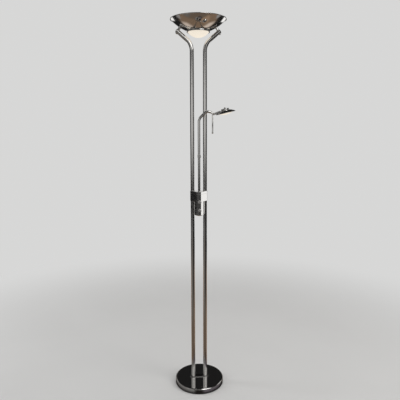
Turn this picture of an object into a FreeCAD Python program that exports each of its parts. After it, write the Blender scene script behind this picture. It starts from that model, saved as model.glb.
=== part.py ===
import FreeCAD, Part
import math
import os
from FreeCAD import Rotation, Vector

# Torchiere floor lamp with a reading light on a swivelling arm.
# Millimetres. The origin is on the floor at the base's axis, +Z is up, -Y is the front.

# Overall
lamp_height = 1800.0            # top of the bowl's rim
pole_spacing = 61.0             # between the two poles' axes
fit_clearance = 0.05            # radial, on pins, bushes and holes that locate a piece
seat_clearance = 0.3            # between pieces that lie close but don't touch

# Base
base_radius = 122.5
base_height = 28.0
cover_wall = 1.2
cover_edge_radius = 5.0
cover_lift = 1.5                # lower edge of the cover above the floor
pad_thickness = 3.0
pad_inset = 4.0
weight_recess_radius = 95.0
weight_recess_depth = 10.0
foot_plate_length = 94.0
foot_plate_width = 26.0
foot_plate_thickness = 3.0
foot_plate_chamfer = 0.75
cord_bush_radius = 4.5
cord_bush_lip = 1.2             # flange beyond the bush, round the hole
cord_bush_flange = 2.0          # flange outside the cover
cord_bush_bore = 3.4
cord_bush_length = 12.0
cord_bush_rise = 1.0            # bush above the pad

# Poles and their threaded joints
pole_radius = 9.5
pole_wall = 1.2
pole_edge_chamfer = 0.6
mid_joint_z = 983.0             # hidden in the control housing
top_joint_drop = 289.0          # below the bowl's rim
bush_length = 14.0
nipple_radius = 4.9
nipple_bore = 3.2
nipple_length = 26.0
washer_radius = 12.0
washer_thickness = 1.6
nut_across_flats = 15.0
nut_height = 5.0

# Curved arms under the bowl
arm_bend_drop = 140.0           # from the rim down to the bend
arm_bend_radius = 65.0
arm_bend_angle = 50.0
arm_end_margin = 7.0            # tube beyond the bolt
arm_cap_height = 3.0
arm_cap_plug = 3.0

# Bowl, a shell whose section is one arc
bowl_rim_radius = 130.0
bowl_depth = 51.5
bowl_hole_radius = 52.0
bowl_arc_sag = 5.4
bowl_wall = 1.2
bowl_lip_radius = 1.8
bowl_stud_radius = 84.0
bowl_bolt_radius = 2.5
bowl_spacer_radius = 6.0
bolt_head_radius = 5.5
bolt_head_height = 4.0
cap_nut_radius = 4.6
cap_nut_height = 6.0
cap_nut_side = 2.5              # straight part below its dome
cap_nut_roof = 1.6

# Ring and frosted dish in the bowl's bottom
dish_ring_wall = 1.6
dish_ring_depth = 6.5
dish_ring_ledge = 2.2
dish_ring_ledge_height = 1.5
dish_ring_chamfer = 0.6
dish_ring_collar = 3.0          # outside the bowl, above its lower edge
dish_depth = 25.0
dish_wall = 2.5
dish_flange_height = 3.0

# Lamp in the bowl
bracket_width = 16.0
bracket_thickness = 1.5
bracket_reach = 6.0             # beyond the bowl bolt
bracket_foot = 2.5              # flat beyond the lampholders
uplight_lamp_length = 114.0     # between the contacts
uplight_lamp_radius = 5.0
uplight_axis_rise = 14.0        # above the bracket
holder_length = 14.0
holder_height = 22.0
holder_edge = 2.0
contact_radius = 2.6
contact_depth = 4.0
lamp_end_wall = 0.8
lamp_end_length = 12.0
lamp_shoulder = 3.0

# Control housing
housing_lobe_radius = 11.5
housing_front_radius = 22.5
housing_front_y = -20.0         # axis of the round front, the stem and the reading arm
housing_top_z = 1007.0
housing_cap_height = 12.0
housing_wing_height = 48.0
housing_barrel_height = 73.0
housing_wall = 1.5
housing_spigot = 4.0
housing_dome_height = 6.0
housing_cap_chamfer = 1.0
clamp_thickness = 16.0
clamp_drop = 9.0                # top of the clamp below the cap's seam
clamp_screw_offset = 14.0
clamp_screw_radius = 2.0
clamp_screw_head_radius = 3.5
clamp_screw_head_height = 2.4
clamp_screw_length = 12.0

# Dimmers and their knobs
upper_knob_z = 958.0
lower_knob_z = 917.0
knob_radius = 8.0
knob_length = 11.0
knob_gap = 0.6
knob_edge_radius = 1.6
knob_flutes = 12
knob_flute_radius = 0.9
knob_pointer_width = 1.0
knob_pointer_depth = 0.5
knob_pointer_start = 2.4
knob_socket_depth = 8.5
dimmer_shaft_radius = 3.0
dimmer_body_radius = 8.0
dimmer_body_length = 8.0
dimmer_neck_radius = 4.4
dimmer_neck_length = 14.0
dimmer_shaft_seat = 2.0
board_width = 34.0
board_thickness = 1.6
board_y = -16.0
board_gap = 1.0                 # to the end cap below and the clamp above
shaft_hole_clearance = 0.6

# Stem and swivel
stem_radius = 6.0
stem_wall = 1.0
stem_top_z = 1168.0
spigot_plug_length = 20.0
spigot_body_height = 10.0
spigot_pin_radius = 4.0
spigot_pin_length = 22.0
spigot_bore = 2.4
swivel_gap = 0.2                # axial
ferrule_wall = 1.25
ferrule_height = 14.0
stop_groove_z = 5.0             # above the stem's top
stop_groove_depth = 1.4
stop_screw_radius = 1.5
stop_screw_head_radius = 2.0
stop_screw_head_height = 2.2
stop_screw_azimuth = -15.0
swivel_min = -180.0
swivel_max = 5.0
stop_slack = 2.0                # degrees of groove beyond each limit

# Reading arm
arm_radius = 6.0
arm_wall = 1.0
arm_bush_length = 18.0
arm_rise_z = 1338.2             # where the first bend starts
arm_first_bend_radius = 30.0
arm_first_bend_angle = 45.0
arm_slope_length = 24.0
arm_top_bend_radius = 26.0
arm_top_bend_angle = 75.0

# Fork, tilt joint and handle at the arm's end
fork_radius = 4.5
fork_length = 16.0              # from the tube's end to the tilt axis
fork_plug_length = 3.0
fork_plug_clearance = 0.25      # the plug is straight and the tube's end is bent
fork_collar = 1.0
fork_slot = 4.2
fork_slot_reach = 5.2
tilt_up_limit = 45.0            # degrees from rest
tongue_thickness = 4.0
tongue_radius = 4.2
tilt_screw_radius = 1.5
tilt_knob_radius = 4.8
tilt_knob_height = 4.0
tilt_nut_height = 3.0
tilt_nut_across_flats = 5.5
handle_radius = 3.0
handle_inset = 6.4              # handle axis from the tilt axis
handle_end_z = 1281.0
handle_thread_radius = 1.5
handle_thread_drop = 1.0
handle_ball_radius = 4.5

# Reading head, turned about the shade's own axis
head_centre_x = 126.7
head_centre_z = 1378.5
head_tilt = 13.0                # degrees, outer edge up
shade_radius = 47.0
shade_rim = 1.0
shade_height = 12.5
shade_roof_radius = 19.0
shade_wall = 1.0
shade_bow = 1.4                 # of the cone between rim and roof
shade_cap_height = 8.0
shade_cap_wall = 1.2
shade_cap_edge = 3.0
finial_radius = 4.5
finial_height = 5.5
finial_screw_radius = 2.0
finial_screw_length = 10.0
finial_side = 2.2               # straight part below its dome
glass_radius = 35.0
glass_depth = 7.0
glass_wall = 2.2
glass_flange = 3.5
glass_ring_thickness = 1.2
glass_ring_low = -0.8
capsule_radius = 4.5
capsule_length = 32.0
capsule_height = 4.2            # of its axis above the rim
capsule_pin_radius = 0.5
capsule_pin_spacing = 4.0
capsule_pin_length = 6.0
holder_length_x = 11.0
holder_width_y = 14.0
holder_base_z = 0.8
holder_top_z = 7.4
holder_face_x = 15.0            # face that the capsule's pins enter
holder_strap_width = 8.0
fin_height = 5.0
fin_foot = 22.0                 # inner end of the fin, from the shade's axis
fin_nose = 3.0
fin_edge_rise = 12.0            # degrees, of its upper edge from its lower edge
fin_screw_radius = 1.5
fin_screw_offsets = (3.0, 10.0)  # from the fin's foot
fin_screw_depth = 3.0           # of its hole above the shade's back
fin_screw_inside = 3.0          # from the shade's back down to the screw's head
fin_screw_head_radius = 2.5
fin_screw_head_height = 1.2

# Sizes that follow
pole_bore = pole_radius - pole_wall
foot_top_z = base_height + foot_plate_thickness
weight_bottom_z = pad_thickness
weight_top_z = base_height - cover_wall
stem_bore = stem_radius - stem_wall
arm_bore = arm_radius - arm_wall
cap_seam_z = housing_top_z - housing_cap_height
wing_bottom_z = housing_top_z - housing_wing_height
barrel_bottom_z = wing_bottom_z - housing_barrel_height
clamp_top_z = cap_seam_z - clamp_drop
clamp_bottom_z = clamp_top_z - clamp_thickness
housing_face_y = housing_front_y - housing_front_radius
spigot_top_z = stem_top_z + spigot_body_height
arm_tube_z = spigot_top_z + swivel_gap
bowl_bottom_z = lamp_height - bowl_depth
top_joint_z = lamp_height - top_joint_drop
arm_bend_z = lamp_height - arm_bend_drop
finial_base = shade_height + shade_cap_height
glass_seat = glass_ring_low + glass_ring_thickness

UP = Vector(0, 0, 1)
BACK = Vector(0, 1, 0)
FRONT = Vector(0, -1, 0)
RIGHT = Vector(1, 0, 0)
POLE_SIDES = (-1, 1)


def cylinder(radius, z0, z1, x=0.0, y=0.0):
    return Part.makeCylinder(radius, z1 - z0, Vector(x, y, z0))


def tube(outer, inner, z0, z1, x=0.0, y=0.0):
    return cylinder(outer, z0, z1, x, y).cut(cylinder(inner, z0, z1, x, y))


def rod(radius, start, direction, length):
    return Part.makeCylinder(radius, length, start, direction)


def section(start, *moves):
    """Face in the XZ plane: a point adds a line, a pair of points an arc through the first."""
    here = Vector(start[0], 0, start[1])
    edges = []
    for move in moves + (start,):
        if isinstance(move[0], tuple):
            middle, end = [Vector(p[0], 0, p[1]) for p in move]
            edges.append(Part.Arc(here, middle, end).toShape())
        else:
            end = Vector(move[0], 0, move[1])
            if end.distanceToPoint(here) > 1e-6:
                edges.append(Part.makeLine(here, end))
        here = end
    return Part.Face(Part.Wire(edges))


def turned(start, *moves):
    """Full turn of a section about the Z axis, with its faces pointing outwards."""
    solid = section(start, *moves).revolve(Vector(), UP, 360)
    if solid.Volume < 0:
        solid.reverse()
    return solid


def dome_mid(reach, height, base=0.0):
    """Middle point of the arc from the edge of a round-topped dome to its top on the axis."""
    radius = (reach ** 2 + height ** 2) / (2 * height)
    half_turn = math.atan2(height, reach)
    return (radius * math.sin(half_turn), base + height - radius * (1 - math.cos(half_turn)))


def bowl_mid(reach, depth, floor=0.0):
    """Middle point of the arc from a dish's lowest point on the axis up to its edge."""
    mid = dome_mid(reach, depth)
    return (mid[0], floor + depth - mid[1])


def round_mid(corner_x, corner_z, radius):
    """Middle point of a quarter round that replaces the upper outer corner of a section."""
    inset = radius * (1 - math.sqrt(0.5))
    return (corner_x - inset, corner_z - inset)


def plate(outline, z0, z1):
    """Extrusion of a closed XY outline, given as edges in order, between two heights."""
    face = Part.Face(Part.Wire(outline))
    face.translate(Vector(0, 0, z0))
    return face.extrude(Vector(0, 0, z1 - z0))


def laid(shape, origin, direction):
    """The shape with its own +Z along the direction and its own origin at the given point."""
    moved = shape.copy()
    moved.Placement = FreeCAD.Placement(origin, Rotation(UP, direction))
    return moved


def joined(shapes):
    return shapes[0].fuse(shapes[1:]).removeSplitter()


def hexagon(across_flats, z0, z1, x=0.0, y=0.0):
    corner = across_flats / math.sqrt(3)
    points = []
    for k in range(7):
        turn = math.radians(60 * k)
        points.append(Vector(x + corner * math.cos(turn), y + corner * math.sin(turn), 0))
    return plate(Part.makePolygon(points).Edges, z0, z1)


def top_edges(shape, z):
    return [edge for edge in shape.Edges if edge.BoundBox.ZMin > z - 0.01]


def polar(angle, length):
    """Vector in the XZ plane at an angle in degrees above +X."""
    return Vector(length * math.cos(math.radians(angle)), 0, length * math.sin(math.radians(angle)))


def pole_x(side):
    return side * pole_spacing / 2


def path_edges(start, heading, moves):
    """Lines and tangent arcs in the XZ plane. A move is (length, 0) or (radius, turn), and a
    positive turn bends the path clockwise, towards +X from upright. Returns edges, end, heading."""
    edges = []
    here = start
    for size, turn in moves:
        if turn == 0:
            end = here + polar(heading, size)
            edges.append(Part.makeLine(here, end))
        else:
            centre = here + polar(heading - math.copysign(90, turn), size)
            out = heading + math.copysign(90, turn)
            middle = centre + polar(out - turn / 2, size)
            end = centre + polar(out - turn, size)
            edges.append(Part.Arc(here, middle, end).toShape())
            heading -= turn
        here = end
    return edges, here, heading


def swept_tube(edges, outer, inner):
    """Tube along a path that starts upright."""
    start = edges[0].Vertexes[0].Point
    walls = []
    for radius in (outer, inner):
        ring = Part.Wire(Part.makeCircle(radius, start, UP))
        walls.append(Part.Wire(edges).makePipeShell([ring], True, True))
    return walls[0].cut(walls[1])


def bowl_arc(offset):
    """Lower end, middle and upper end of the bowl's arc, moved inwards by the offset."""
    low = Vector(bowl_hole_radius, 0, bowl_bottom_z)
    high = Vector(bowl_rim_radius - bowl_lip_radius, 0, lamp_height - bowl_lip_radius)
    chord = high - low
    normal = Vector(chord.z, 0, -chord.x).normalize()
    radius = (chord.Length / 2) ** 2 / (2 * bowl_arc_sag) + bowl_arc_sag / 2
    centre = (low + high) * 0.5 + normal * (bowl_arc_sag - radius)
    middle = centre + normal * radius
    points = []
    for point in (low, middle, high):
        outwards = (point - centre).normalize()
        points.append(centre + outwards * (radius - offset))
    return points, centre, radius


def bowl_stud():
    """Foot of the bowl bolt on the bowl's outside, its outward direction and its distance to
    the curved arm's axis, all on the right-hand side."""
    points, centre, radius = bowl_arc(0.0)
    rise = math.sqrt(radius ** 2 - (bowl_stud_radius - centre.x) ** 2)
    foot = Vector(bowl_stud_radius, 0, centre.z - rise)
    outwards = (foot - centre).normalize()
    edges, bend_end, heading = path_edges(
        Vector(pole_x(1), 0, top_joint_z), 90,
        [(arm_bend_z - top_joint_z, 0), (arm_bend_radius, arm_bend_angle)])
    run = polar(heading, 1)
    gap = bend_end - foot
    across = outwards.x * run.z - outwards.z * run.x
    reach = (gap.x * run.z - gap.z * run.x) / across
    slide = (gap.x * outwards.z - gap.z * outwards.x) / across
    return foot, outwards, reach, slide


def flat(point):
    return (point.x, point.z)


def mirrored(vector, side):
    return Vector(side * vector.x, vector.y, vector.z)


def upper_arm_edges(side):
    foot, outwards, reach, slide = bowl_stud()
    edges, end, heading = path_edges(
        Vector(pole_x(1), 0, top_joint_z), 90,
        [(arm_bend_z - top_joint_z, 0), (arm_bend_radius, arm_bend_angle),
         (slide + arm_end_margin, 0)])
    if side < 0:
        edges = [edge.mirror(Vector(), RIGHT) for edge in edges]
        edges = [Part.Edge(edge.Curve, edge.FirstParameter, edge.LastParameter) for edge in edges]
    return edges, mirrored(end, side), mirrored(polar(heading, 1), side)


# Base

def base_pad():
    return cylinder(base_radius - pad_inset, 0, pad_thickness)


def base_cover():
    side = base_radius - cover_wall
    roof = base_height - cover_wall
    inner_edge = cover_edge_radius - cover_wall
    outer_mid = round_mid(base_radius, base_height, cover_edge_radius)
    inner_mid = round_mid(side, roof, inner_edge)
    shell = turned(
        (0, roof), (side - inner_edge, roof), (inner_mid, (side, roof - inner_edge)),
        (side, cover_lift), (base_radius, cover_lift), (base_radius, base_height - cover_edge_radius),
        (outer_mid, (base_radius - cover_edge_radius, base_height)), (0, base_height))
    for side_sign in POLE_SIDES:
        shell = shell.cut(cylinder(nipple_radius + fit_clearance, 0, base_height, pole_x(side_sign)))
    hole = rod(cord_bush_radius + fit_clearance, Vector(0, 0, cord_axis_z()), BACK, base_radius)
    return shell.cut(hole)


def cord_axis_z():
    return weight_bottom_z + cord_bush_rise + cord_bush_radius


def base_weight():
    radius = base_radius - cover_wall - seat_clearance
    bevel = cover_edge_radius
    recess_z = weight_bottom_z + weight_recess_depth
    disc = turned(
        (0, recess_z), (weight_recess_radius, recess_z), (weight_recess_radius, weight_bottom_z),
        (radius, weight_bottom_z), (radius, weight_top_z - bevel), (radius - bevel, weight_top_z),
        (0, weight_top_z))
    for side in POLE_SIDES:
        disc = disc.cut(cylinder(nipple_radius + fit_clearance, 0, base_height, pole_x(side)))
    half_slot = cord_bush_radius + seat_clearance
    slot_y = weight_recess_radius - cord_bush_radius
    slot = Part.makeBox(2 * half_slot, base_radius - slot_y, weight_recess_depth,
                        Vector(-half_slot, slot_y, weight_bottom_z))
    return disc.cut(slot)


def cord_bush():
    """Moulded bush in the cover's side wall, with a flange outside and a bore for a lead."""
    start = Vector(0, base_radius - cord_bush_length, cord_axis_z())
    body = rod(cord_bush_radius, start, BACK, cord_bush_length + cord_bush_flange)
    collar = rod(cord_bush_radius + cord_bush_lip, start, BACK, cord_bush_length + cord_bush_flange)
    collar = collar.cut(cylinder(base_radius, 0, base_height))
    bore = rod(cord_bush_bore, start, BACK, 2 * cord_bush_length)
    return joined([body, collar]).cut(bore)


def foot_plate():
    """Plate with round ends under both poles."""
    radius = foot_plate_width / 2
    half = foot_plate_length / 2 - radius
    middle = Part.makeBox(2 * half, 2 * radius, foot_plate_thickness, Vector(-half, -radius, base_height))
    ends = [cylinder(radius, base_height, foot_top_z, x) for x in (-half, half)]
    slab = joined([middle] + ends)
    slab = slab.makeChamfer(foot_plate_chamfer, top_edges(slab, foot_top_z))
    for side in POLE_SIDES:
        slab = slab.cut(cylinder(nipple_radius + fit_clearance, base_height, foot_top_z, pole_x(side)))
    return slab


def base_fasteners():
    recess_z = weight_bottom_z + weight_recess_depth
    washers = []
    nuts = []
    nipples = []
    for side in POLE_SIDES:
        x = pole_x(side)
        hole = nipple_radius + fit_clearance
        washers.append(tube(washer_radius, hole, recess_z - washer_thickness, recess_z, x))
        nut_top = recess_z - washer_thickness
        nut = hexagon(nut_across_flats, nut_top - nut_height, nut_top, x)
        nuts.append(nut.cut(cylinder(hole, 0, base_height, x)))
        nipples.append(tube(nipple_radius, nipple_bore, nut_top - nut_height, foot_top_z + bush_length, x))
    return {"base_washers": washers, "base_nuts": nuts, "base_nipples": nipples}


# Poles

def pole_section(side, z0, z1):
    """Straight tube with small chamfers at both ends, so that a joint shows as a fine groove."""
    x = pole_x(side)
    edge = pole_edge_chamfer
    solid = turned((0, z0), (pole_radius - edge, z0), (pole_radius, z0 + edge), (pole_radius, z1 - edge),
                   (pole_radius - edge, z1), (0, z1))
    solid.translate(Vector(x, 0, 0))
    return solid.cut(cylinder(pole_bore, z0, z1, x))


def pole_end_bushes():
    """Threaded slugs pressed into each tube end: base, both sides of each joint."""
    outer = pole_bore - fit_clearance
    inner = nipple_radius + fit_clearance
    ends = ((foot_top_z, 1), (mid_joint_z, -1), (mid_joint_z, 1), (top_joint_z, -1), (top_joint_z, 1))
    bushes = []
    for side in POLE_SIDES:
        for z, up in ends:
            low = z if up > 0 else z - bush_length
            bushes.append(tube(outer, inner, low, low + bush_length, pole_x(side)))
    return bushes


def joint_nipples():
    half = nipple_length / 2
    nipples = []
    for side in POLE_SIDES:
        for z in (mid_joint_z, top_joint_z):
            nipples.append(tube(nipple_radius, nipple_bore, z - half, z + half, pole_x(side)))
    return nipples


def upper_arm(side):
    """Curved arm from the top joint out to the bowl, drilled for the bowl bolt."""
    edges, end, run = upper_arm_edges(side)
    body = swept_tube(edges, pole_radius, pole_bore)
    foot, outwards, reach, slide = bowl_stud()
    along = mirrored(outwards, side)
    hole = rod(bowl_bolt_radius + fit_clearance, mirrored(foot, side), along, reach + 2 * pole_radius)
    return body.cut(hole)


def arm_end_cap(side):
    """Domed plug that closes the curved arm's open end."""
    edges, end, run = upper_arm_edges(side)
    inner = pole_bore - fit_clearance
    plug = turned((0, -arm_cap_plug), (inner, -arm_cap_plug), (inner, 0), (pole_radius, 0),
                  (dome_mid(pole_radius, arm_cap_height), (0, arm_cap_height)))
    return laid(plug, end, run)


# Bowl

def bowl():
    """Spun shell with a rolled lip at its rim."""
    outer = [flat(point) for point in bowl_arc(0.0)[0]]
    inner = [flat(point) for point in bowl_arc(bowl_wall)[0]]
    shell = turned(inner[0], outer[0], (outer[1], outer[2]), inner[2], (inner[1], inner[0]))
    lip_z = lamp_height - bowl_lip_radius
    lip = Part.makeTorus(bowl_rim_radius - bowl_lip_radius, bowl_lip_radius, Vector(0, 0, lip_z))
    shell = joined([shell, lip])
    foot, outwards, reach, slide = bowl_stud()
    for side in POLE_SIDES:
        start = mirrored(foot + outwards * bowl_wall, side)
        hole = rod(bowl_bolt_radius + fit_clearance, start, mirrored(outwards, side) * -1, 4 * bowl_wall)
        shell = shell.cut(hole)
    return shell


def bowl_outside():
    """Everything above the bowl's outer face, to shape what lies against it."""
    low, middle, high = [flat(point) for point in bowl_arc(0.0)[0]]
    return turned((0, low[1]), low, (middle, high), (0, high[1]))


def bowl_spacer(side):
    """Sleeve round the bolt, saddle-shaped below and cut to the bowl above."""
    foot, outwards, reach, slide = bowl_stud()
    edges, end, run = upper_arm_edges(side)
    start = mirrored(foot - outwards * bowl_spacer_radius, side)
    along = mirrored(outwards, side)
    sleeve = rod(bowl_spacer_radius, start, along, reach + bowl_spacer_radius)
    sleeve = sleeve.cut(rod(bowl_bolt_radius + fit_clearance, start, along, 3 * reach))
    centre = mirrored(foot + outwards * reach, side)
    return sleeve.cut(tube_space(centre, run)).cut(bowl_outside())


def bowl_bolt(side):
    """Round-headed bolt from under the arm, its neck cut to sit on the tube."""
    foot, outwards, reach, slide = bowl_stud()
    edges, end, run = upper_arm_edges(side)
    centre = mirrored(foot + outwards * reach, side)
    along = mirrored(outwards, side)
    seat = pole_radius
    head = turned((0, 0), (bolt_head_radius, 0), (bolt_head_radius, seat),
                  (dome_mid(bolt_head_radius, bolt_head_height, seat), (0, seat + bolt_head_height)))
    head = laid(head, centre, along).cut(tube_space(centre, run))
    inside = nut_seat() + cap_nut_height - cap_nut_roof
    shank = rod(bowl_bolt_radius, centre + along * seat, along * -1, reach + seat + inside - fit_clearance)
    return joined([head, shank])


def tube_space(centre, run):
    """The curved arm's outer form near its end, to shape what sits on it."""
    return rod(pole_radius, centre - run * 3 * pole_radius, run, 6 * pole_radius)


def nut_seat():
    """Distance from the bowl's outer face to the inner face of the lamp bracket."""
    return bowl_wall + wing_gap() + bracket_thickness


def bracket_knee_x():
    return uplight_lamp_length / 2 - contact_depth + holder_length + bracket_foot


def wing_gap():
    """Gap at the bolt between the bowl and the bracket's wing. The wing is straight and flat
    across, so the gap is what its lower corners need to clear the round wall."""
    foot, outwards, reach, slide = bowl_stud()
    radius = bowl_arc(0.0)[2]
    along = (bowl_stud_radius - bracket_knee_x()) / -outwards.z
    sideways = bracket_width ** 2 / (8 * bracket_knee_x())
    free = radius - bowl_wall - seat_clearance - sideways
    return radius - bowl_wall - math.sqrt(free ** 2 - along ** 2)


def cap_nut(side):
    foot, outwards, reach, slide = bowl_stud()
    top = cap_nut_height
    roof = top - cap_nut_roof
    bolt_space = bowl_bolt_radius + fit_clearance
    mid = dome_mid(cap_nut_radius, top - cap_nut_side, cap_nut_side)
    body = turned((bolt_space, 0), (cap_nut_radius, 0), (cap_nut_radius, cap_nut_side), (mid, (0, top)),
                  (0, roof), (bolt_space, roof))
    seat = mirrored(foot - outwards * nut_seat(), side)
    return laid(body, seat, mirrored(outwards, side) * -1)


def lamp_bracket():
    """Folded strip across the bowl: flat under the lamp, with wings that lie along the wall."""
    foot, outwards, reach, slide = bowl_stud()
    along = Vector(-outwards.z, 0, outwards.x)
    low = foot - outwards * (bowl_wall + wing_gap())
    tip = low + along * bracket_reach
    knee = low + along * ((bracket_z() - low.z) / along.z)
    skin = outwards * -bracket_thickness
    top = bracket_z() + bracket_thickness
    inner_low = low + skin
    upper_knee = inner_low + along * ((top - inner_low.z) / along.z)
    right = [knee, tip, tip + skin, upper_knee]
    left = [mirrored(point, -1) for point in reversed(right)]
    strip = section(*[flat(point) for point in right + left])
    strip.translate(Vector(0, -bracket_width / 2, 0))
    strip = strip.extrude(Vector(0, bracket_width, 0))
    for side in POLE_SIDES:
        inwards = mirrored(outwards, side) * -1
        hole = rod(bowl_bolt_radius + fit_clearance, mirrored(foot, side), inwards, 3 * nut_seat())
        strip = strip.cut(hole)
    return strip


def bracket_z():
    """Underside of the bracket's flat: clear of the wall below the bracket's knee."""
    points, centre, radius = bowl_arc(0.0)
    knee_radius = math.hypot(bracket_knee_x(), bracket_width / 2)
    wall_z = centre.z - math.sqrt((radius - bowl_wall) ** 2 - (knee_radius - centre.x) ** 2)
    return wall_z + seat_clearance


def uplight_axis_z():
    return bracket_z() + bracket_thickness + uplight_axis_rise


def uplight_holder(side):
    """Ceramic end holder with a socket for the lamp's contact."""
    inner_x = uplight_lamp_length / 2 - contact_depth
    base = bracket_z() + bracket_thickness
    block = Part.makeBox(holder_length, bracket_width, holder_height,
                         Vector(inner_x, -bracket_width / 2, base))
    block = block.makeChamfer(holder_edge, top_edges(block, base + holder_height))
    socket = rod(contact_radius + fit_clearance, Vector(inner_x, 0, uplight_axis_z()), RIGHT, contact_depth)
    block = block.cut(socket)
    if side < 0:
        block = block.mirror(Vector(), RIGHT)
    return block


def uplight_lamp():
    """Linear halogen lamp: a quartz tube with a ceramic cap and a contact at each end."""
    half = uplight_lamp_length / 2
    cap_end = half - contact_depth - fit_clearance
    cap_start = cap_end - lamp_end_length
    cap_radius = contact_radius + lamp_end_wall
    glass_end = cap_start - lamp_shoulder
    right_half = [
        (uplight_lamp_radius, glass_end), (cap_radius, cap_start), (cap_radius, cap_end),
        (contact_radius, cap_end), (contact_radius, half), (0, half)]
    left_half = [(radius, -z) for radius, z in reversed(right_half)]
    body = turned(left_half[0], *left_half[1:], *right_half)
    return laid(body, Vector(0, 0, uplight_axis_z()), RIGHT)


def dish_ring():
    """Ring under the bowl's hole, with an inner ledge that carries the glass dish."""
    outer = bowl_hole_radius + dish_ring_wall
    bottom = bowl_bottom_z - dish_ring_depth
    ledge = bowl_hole_radius - dish_ring_ledge
    edge = dish_ring_chamfer
    top = bowl_bottom_z + dish_ring_collar
    step = bottom + dish_ring_ledge_height
    ring = turned((ledge, bottom), (outer - edge, bottom), (outer, bottom + edge), (outer, top),
                  (bowl_hole_radius, top), (bowl_hole_radius, step), (ledge, step))
    return ring.cut(bowl_outside())


def glass_dish():
    """Frosted dish: a flange on the ring's ledge and a dome that hangs through it."""
    ledge_z = bowl_bottom_z - dish_ring_depth + dish_ring_ledge_height
    neck = bowl_hole_radius - dish_ring_ledge - seat_clearance
    flange = bowl_hole_radius - seat_clearance
    flange_top = ledge_z + dish_flange_height
    bottom = ledge_z - dish_depth
    inner = neck - dish_wall
    inner_depth = flange_top - bottom - dish_wall
    return turned(
        (0, bottom), (bowl_mid(neck, dish_depth, bottom), (neck, ledge_z)), (flange, ledge_z),
        (flange, flange_top), (inner, flange_top),
        (bowl_mid(inner, inner_depth, bottom + dish_wall), (0, bottom + dish_wall)))


# Control housing

def housing_outline(offset):
    """Edges of the housing's plan: two lobes round the poles, tangent flanks and a round front."""
    lobe = housing_lobe_radius - offset
    front = housing_front_radius - offset
    axis_y = housing_front_y
    half = pole_spacing / 2
    lean = math.atan2(-axis_y, half)
    spread = math.acos((front - lobe) / math.hypot(half, axis_y))
    normal = lean - spread
    step = Vector(math.cos(normal), math.sin(normal), 0)
    front_right = Vector(0, axis_y, 0) + step * front
    lobe_right = Vector(half, 0, 0) + step * lobe
    front_left = mirrored(front_right, -1)
    lobe_left = mirrored(lobe_right, -1)
    back_right = Vector(half, lobe, 0)
    back_left = Vector(-half, lobe, 0)
    return [
        Part.makeLine(back_right, back_left),
        Part.Arc(back_left, Vector(-half - lobe, 0, 0), lobe_left).toShape(),
        Part.makeLine(lobe_left, front_left),
        Part.Arc(front_left, Vector(0, axis_y - front, 0), front_right).toShape(),
        Part.makeLine(front_right, lobe_right),
        Part.Arc(lobe_right, Vector(half + lobe, 0, 0), back_right).toShape()]


def front_barrel(radius, z0, z1):
    return cylinder(radius, z0, z1, 0, housing_front_y)


def control_housing():
    """Shell with two lobes above and a round barrel below, open at the top and the bottom."""
    barrel_z = barrel_bottom_z + housing_dome_height
    outer = joined([plate(housing_outline(0), wing_bottom_z, cap_seam_z),
                    front_barrel(housing_front_radius, barrel_z, cap_seam_z)])
    inner = joined([plate(housing_outline(housing_wall), wing_bottom_z + housing_wall, cap_seam_z),
                    front_barrel(housing_front_radius - housing_wall, barrel_z, cap_seam_z)])
    shell = outer.cut(inner)
    for side in POLE_SIDES:
        shell = shell.cut(cylinder(pole_radius + fit_clearance, wing_bottom_z, cap_seam_z, pole_x(side)))
    for z in (upper_knob_z, lower_knob_z):
        radius = dimmer_shaft_radius + shaft_hole_clearance
        shell = shell.cut(rod(radius, Vector(0, housing_front_y, z), FRONT, 2 * housing_front_radius))
    for x in (-clamp_screw_offset, clamp_screw_offset):
        start = Vector(x, 0, clamp_screw_z())
        shell = shell.cut(rod(clamp_screw_radius + fit_clearance, start, BACK, 2 * housing_lobe_radius))
    return shell


def housing_top_cap():
    """Solid cap with a spigot that drops into the housing."""
    cap = plate(housing_outline(0), cap_seam_z, housing_top_z)
    cap = cap.makeChamfer(housing_cap_chamfer, top_edges(cap, housing_top_z))
    low = cap_seam_z - housing_spigot
    cap = joined([cap, plate(housing_outline(housing_wall + fit_clearance), low, cap_seam_z)])
    for side in POLE_SIDES:
        cap = cap.cut(cylinder(pole_radius + fit_clearance, low, housing_top_z, pole_x(side)))
    return cap.cut(front_barrel(stem_radius + fit_clearance, low, housing_top_z))


def housing_end_cap():
    """Domed cap that closes the barrel below."""
    seam = barrel_bottom_z + housing_dome_height
    inner = housing_front_radius - housing_wall - fit_clearance
    curve = bowl_mid(housing_front_radius, housing_dome_height, barrel_bottom_z)
    cap = turned((0, barrel_bottom_z), (curve, (housing_front_radius, seam)), (inner, seam),
                 (inner, seam + housing_spigot), (inner - housing_wall, seam + housing_spigot),
                 (inner - housing_wall, seam), (0, seam))
    cap.translate(Vector(0, housing_front_y, 0))
    return cap


def clamp_screw_z():
    return clamp_bottom_z + clamp_thickness / 2


def pole_clamp():
    """Cast block in the housing that grips both poles and the stem, with a hole for wires."""
    block = plate(housing_outline(housing_wall + seat_clearance), clamp_bottom_z, clamp_top_z)
    for side in POLE_SIDES:
        block = block.cut(cylinder(pole_radius + fit_clearance, clamp_bottom_z, clamp_top_z, pole_x(side)))
    block = block.cut(front_barrel(stem_radius + fit_clearance, clamp_bottom_z, clamp_top_z))
    for x in (-clamp_screw_offset, clamp_screw_offset):
        start = Vector(x, housing_lobe_radius - clamp_screw_length - seat_clearance, clamp_screw_z())
        block = block.cut(rod(clamp_screw_radius + fit_clearance, start, BACK, 2 * clamp_screw_length))
    return block


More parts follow.
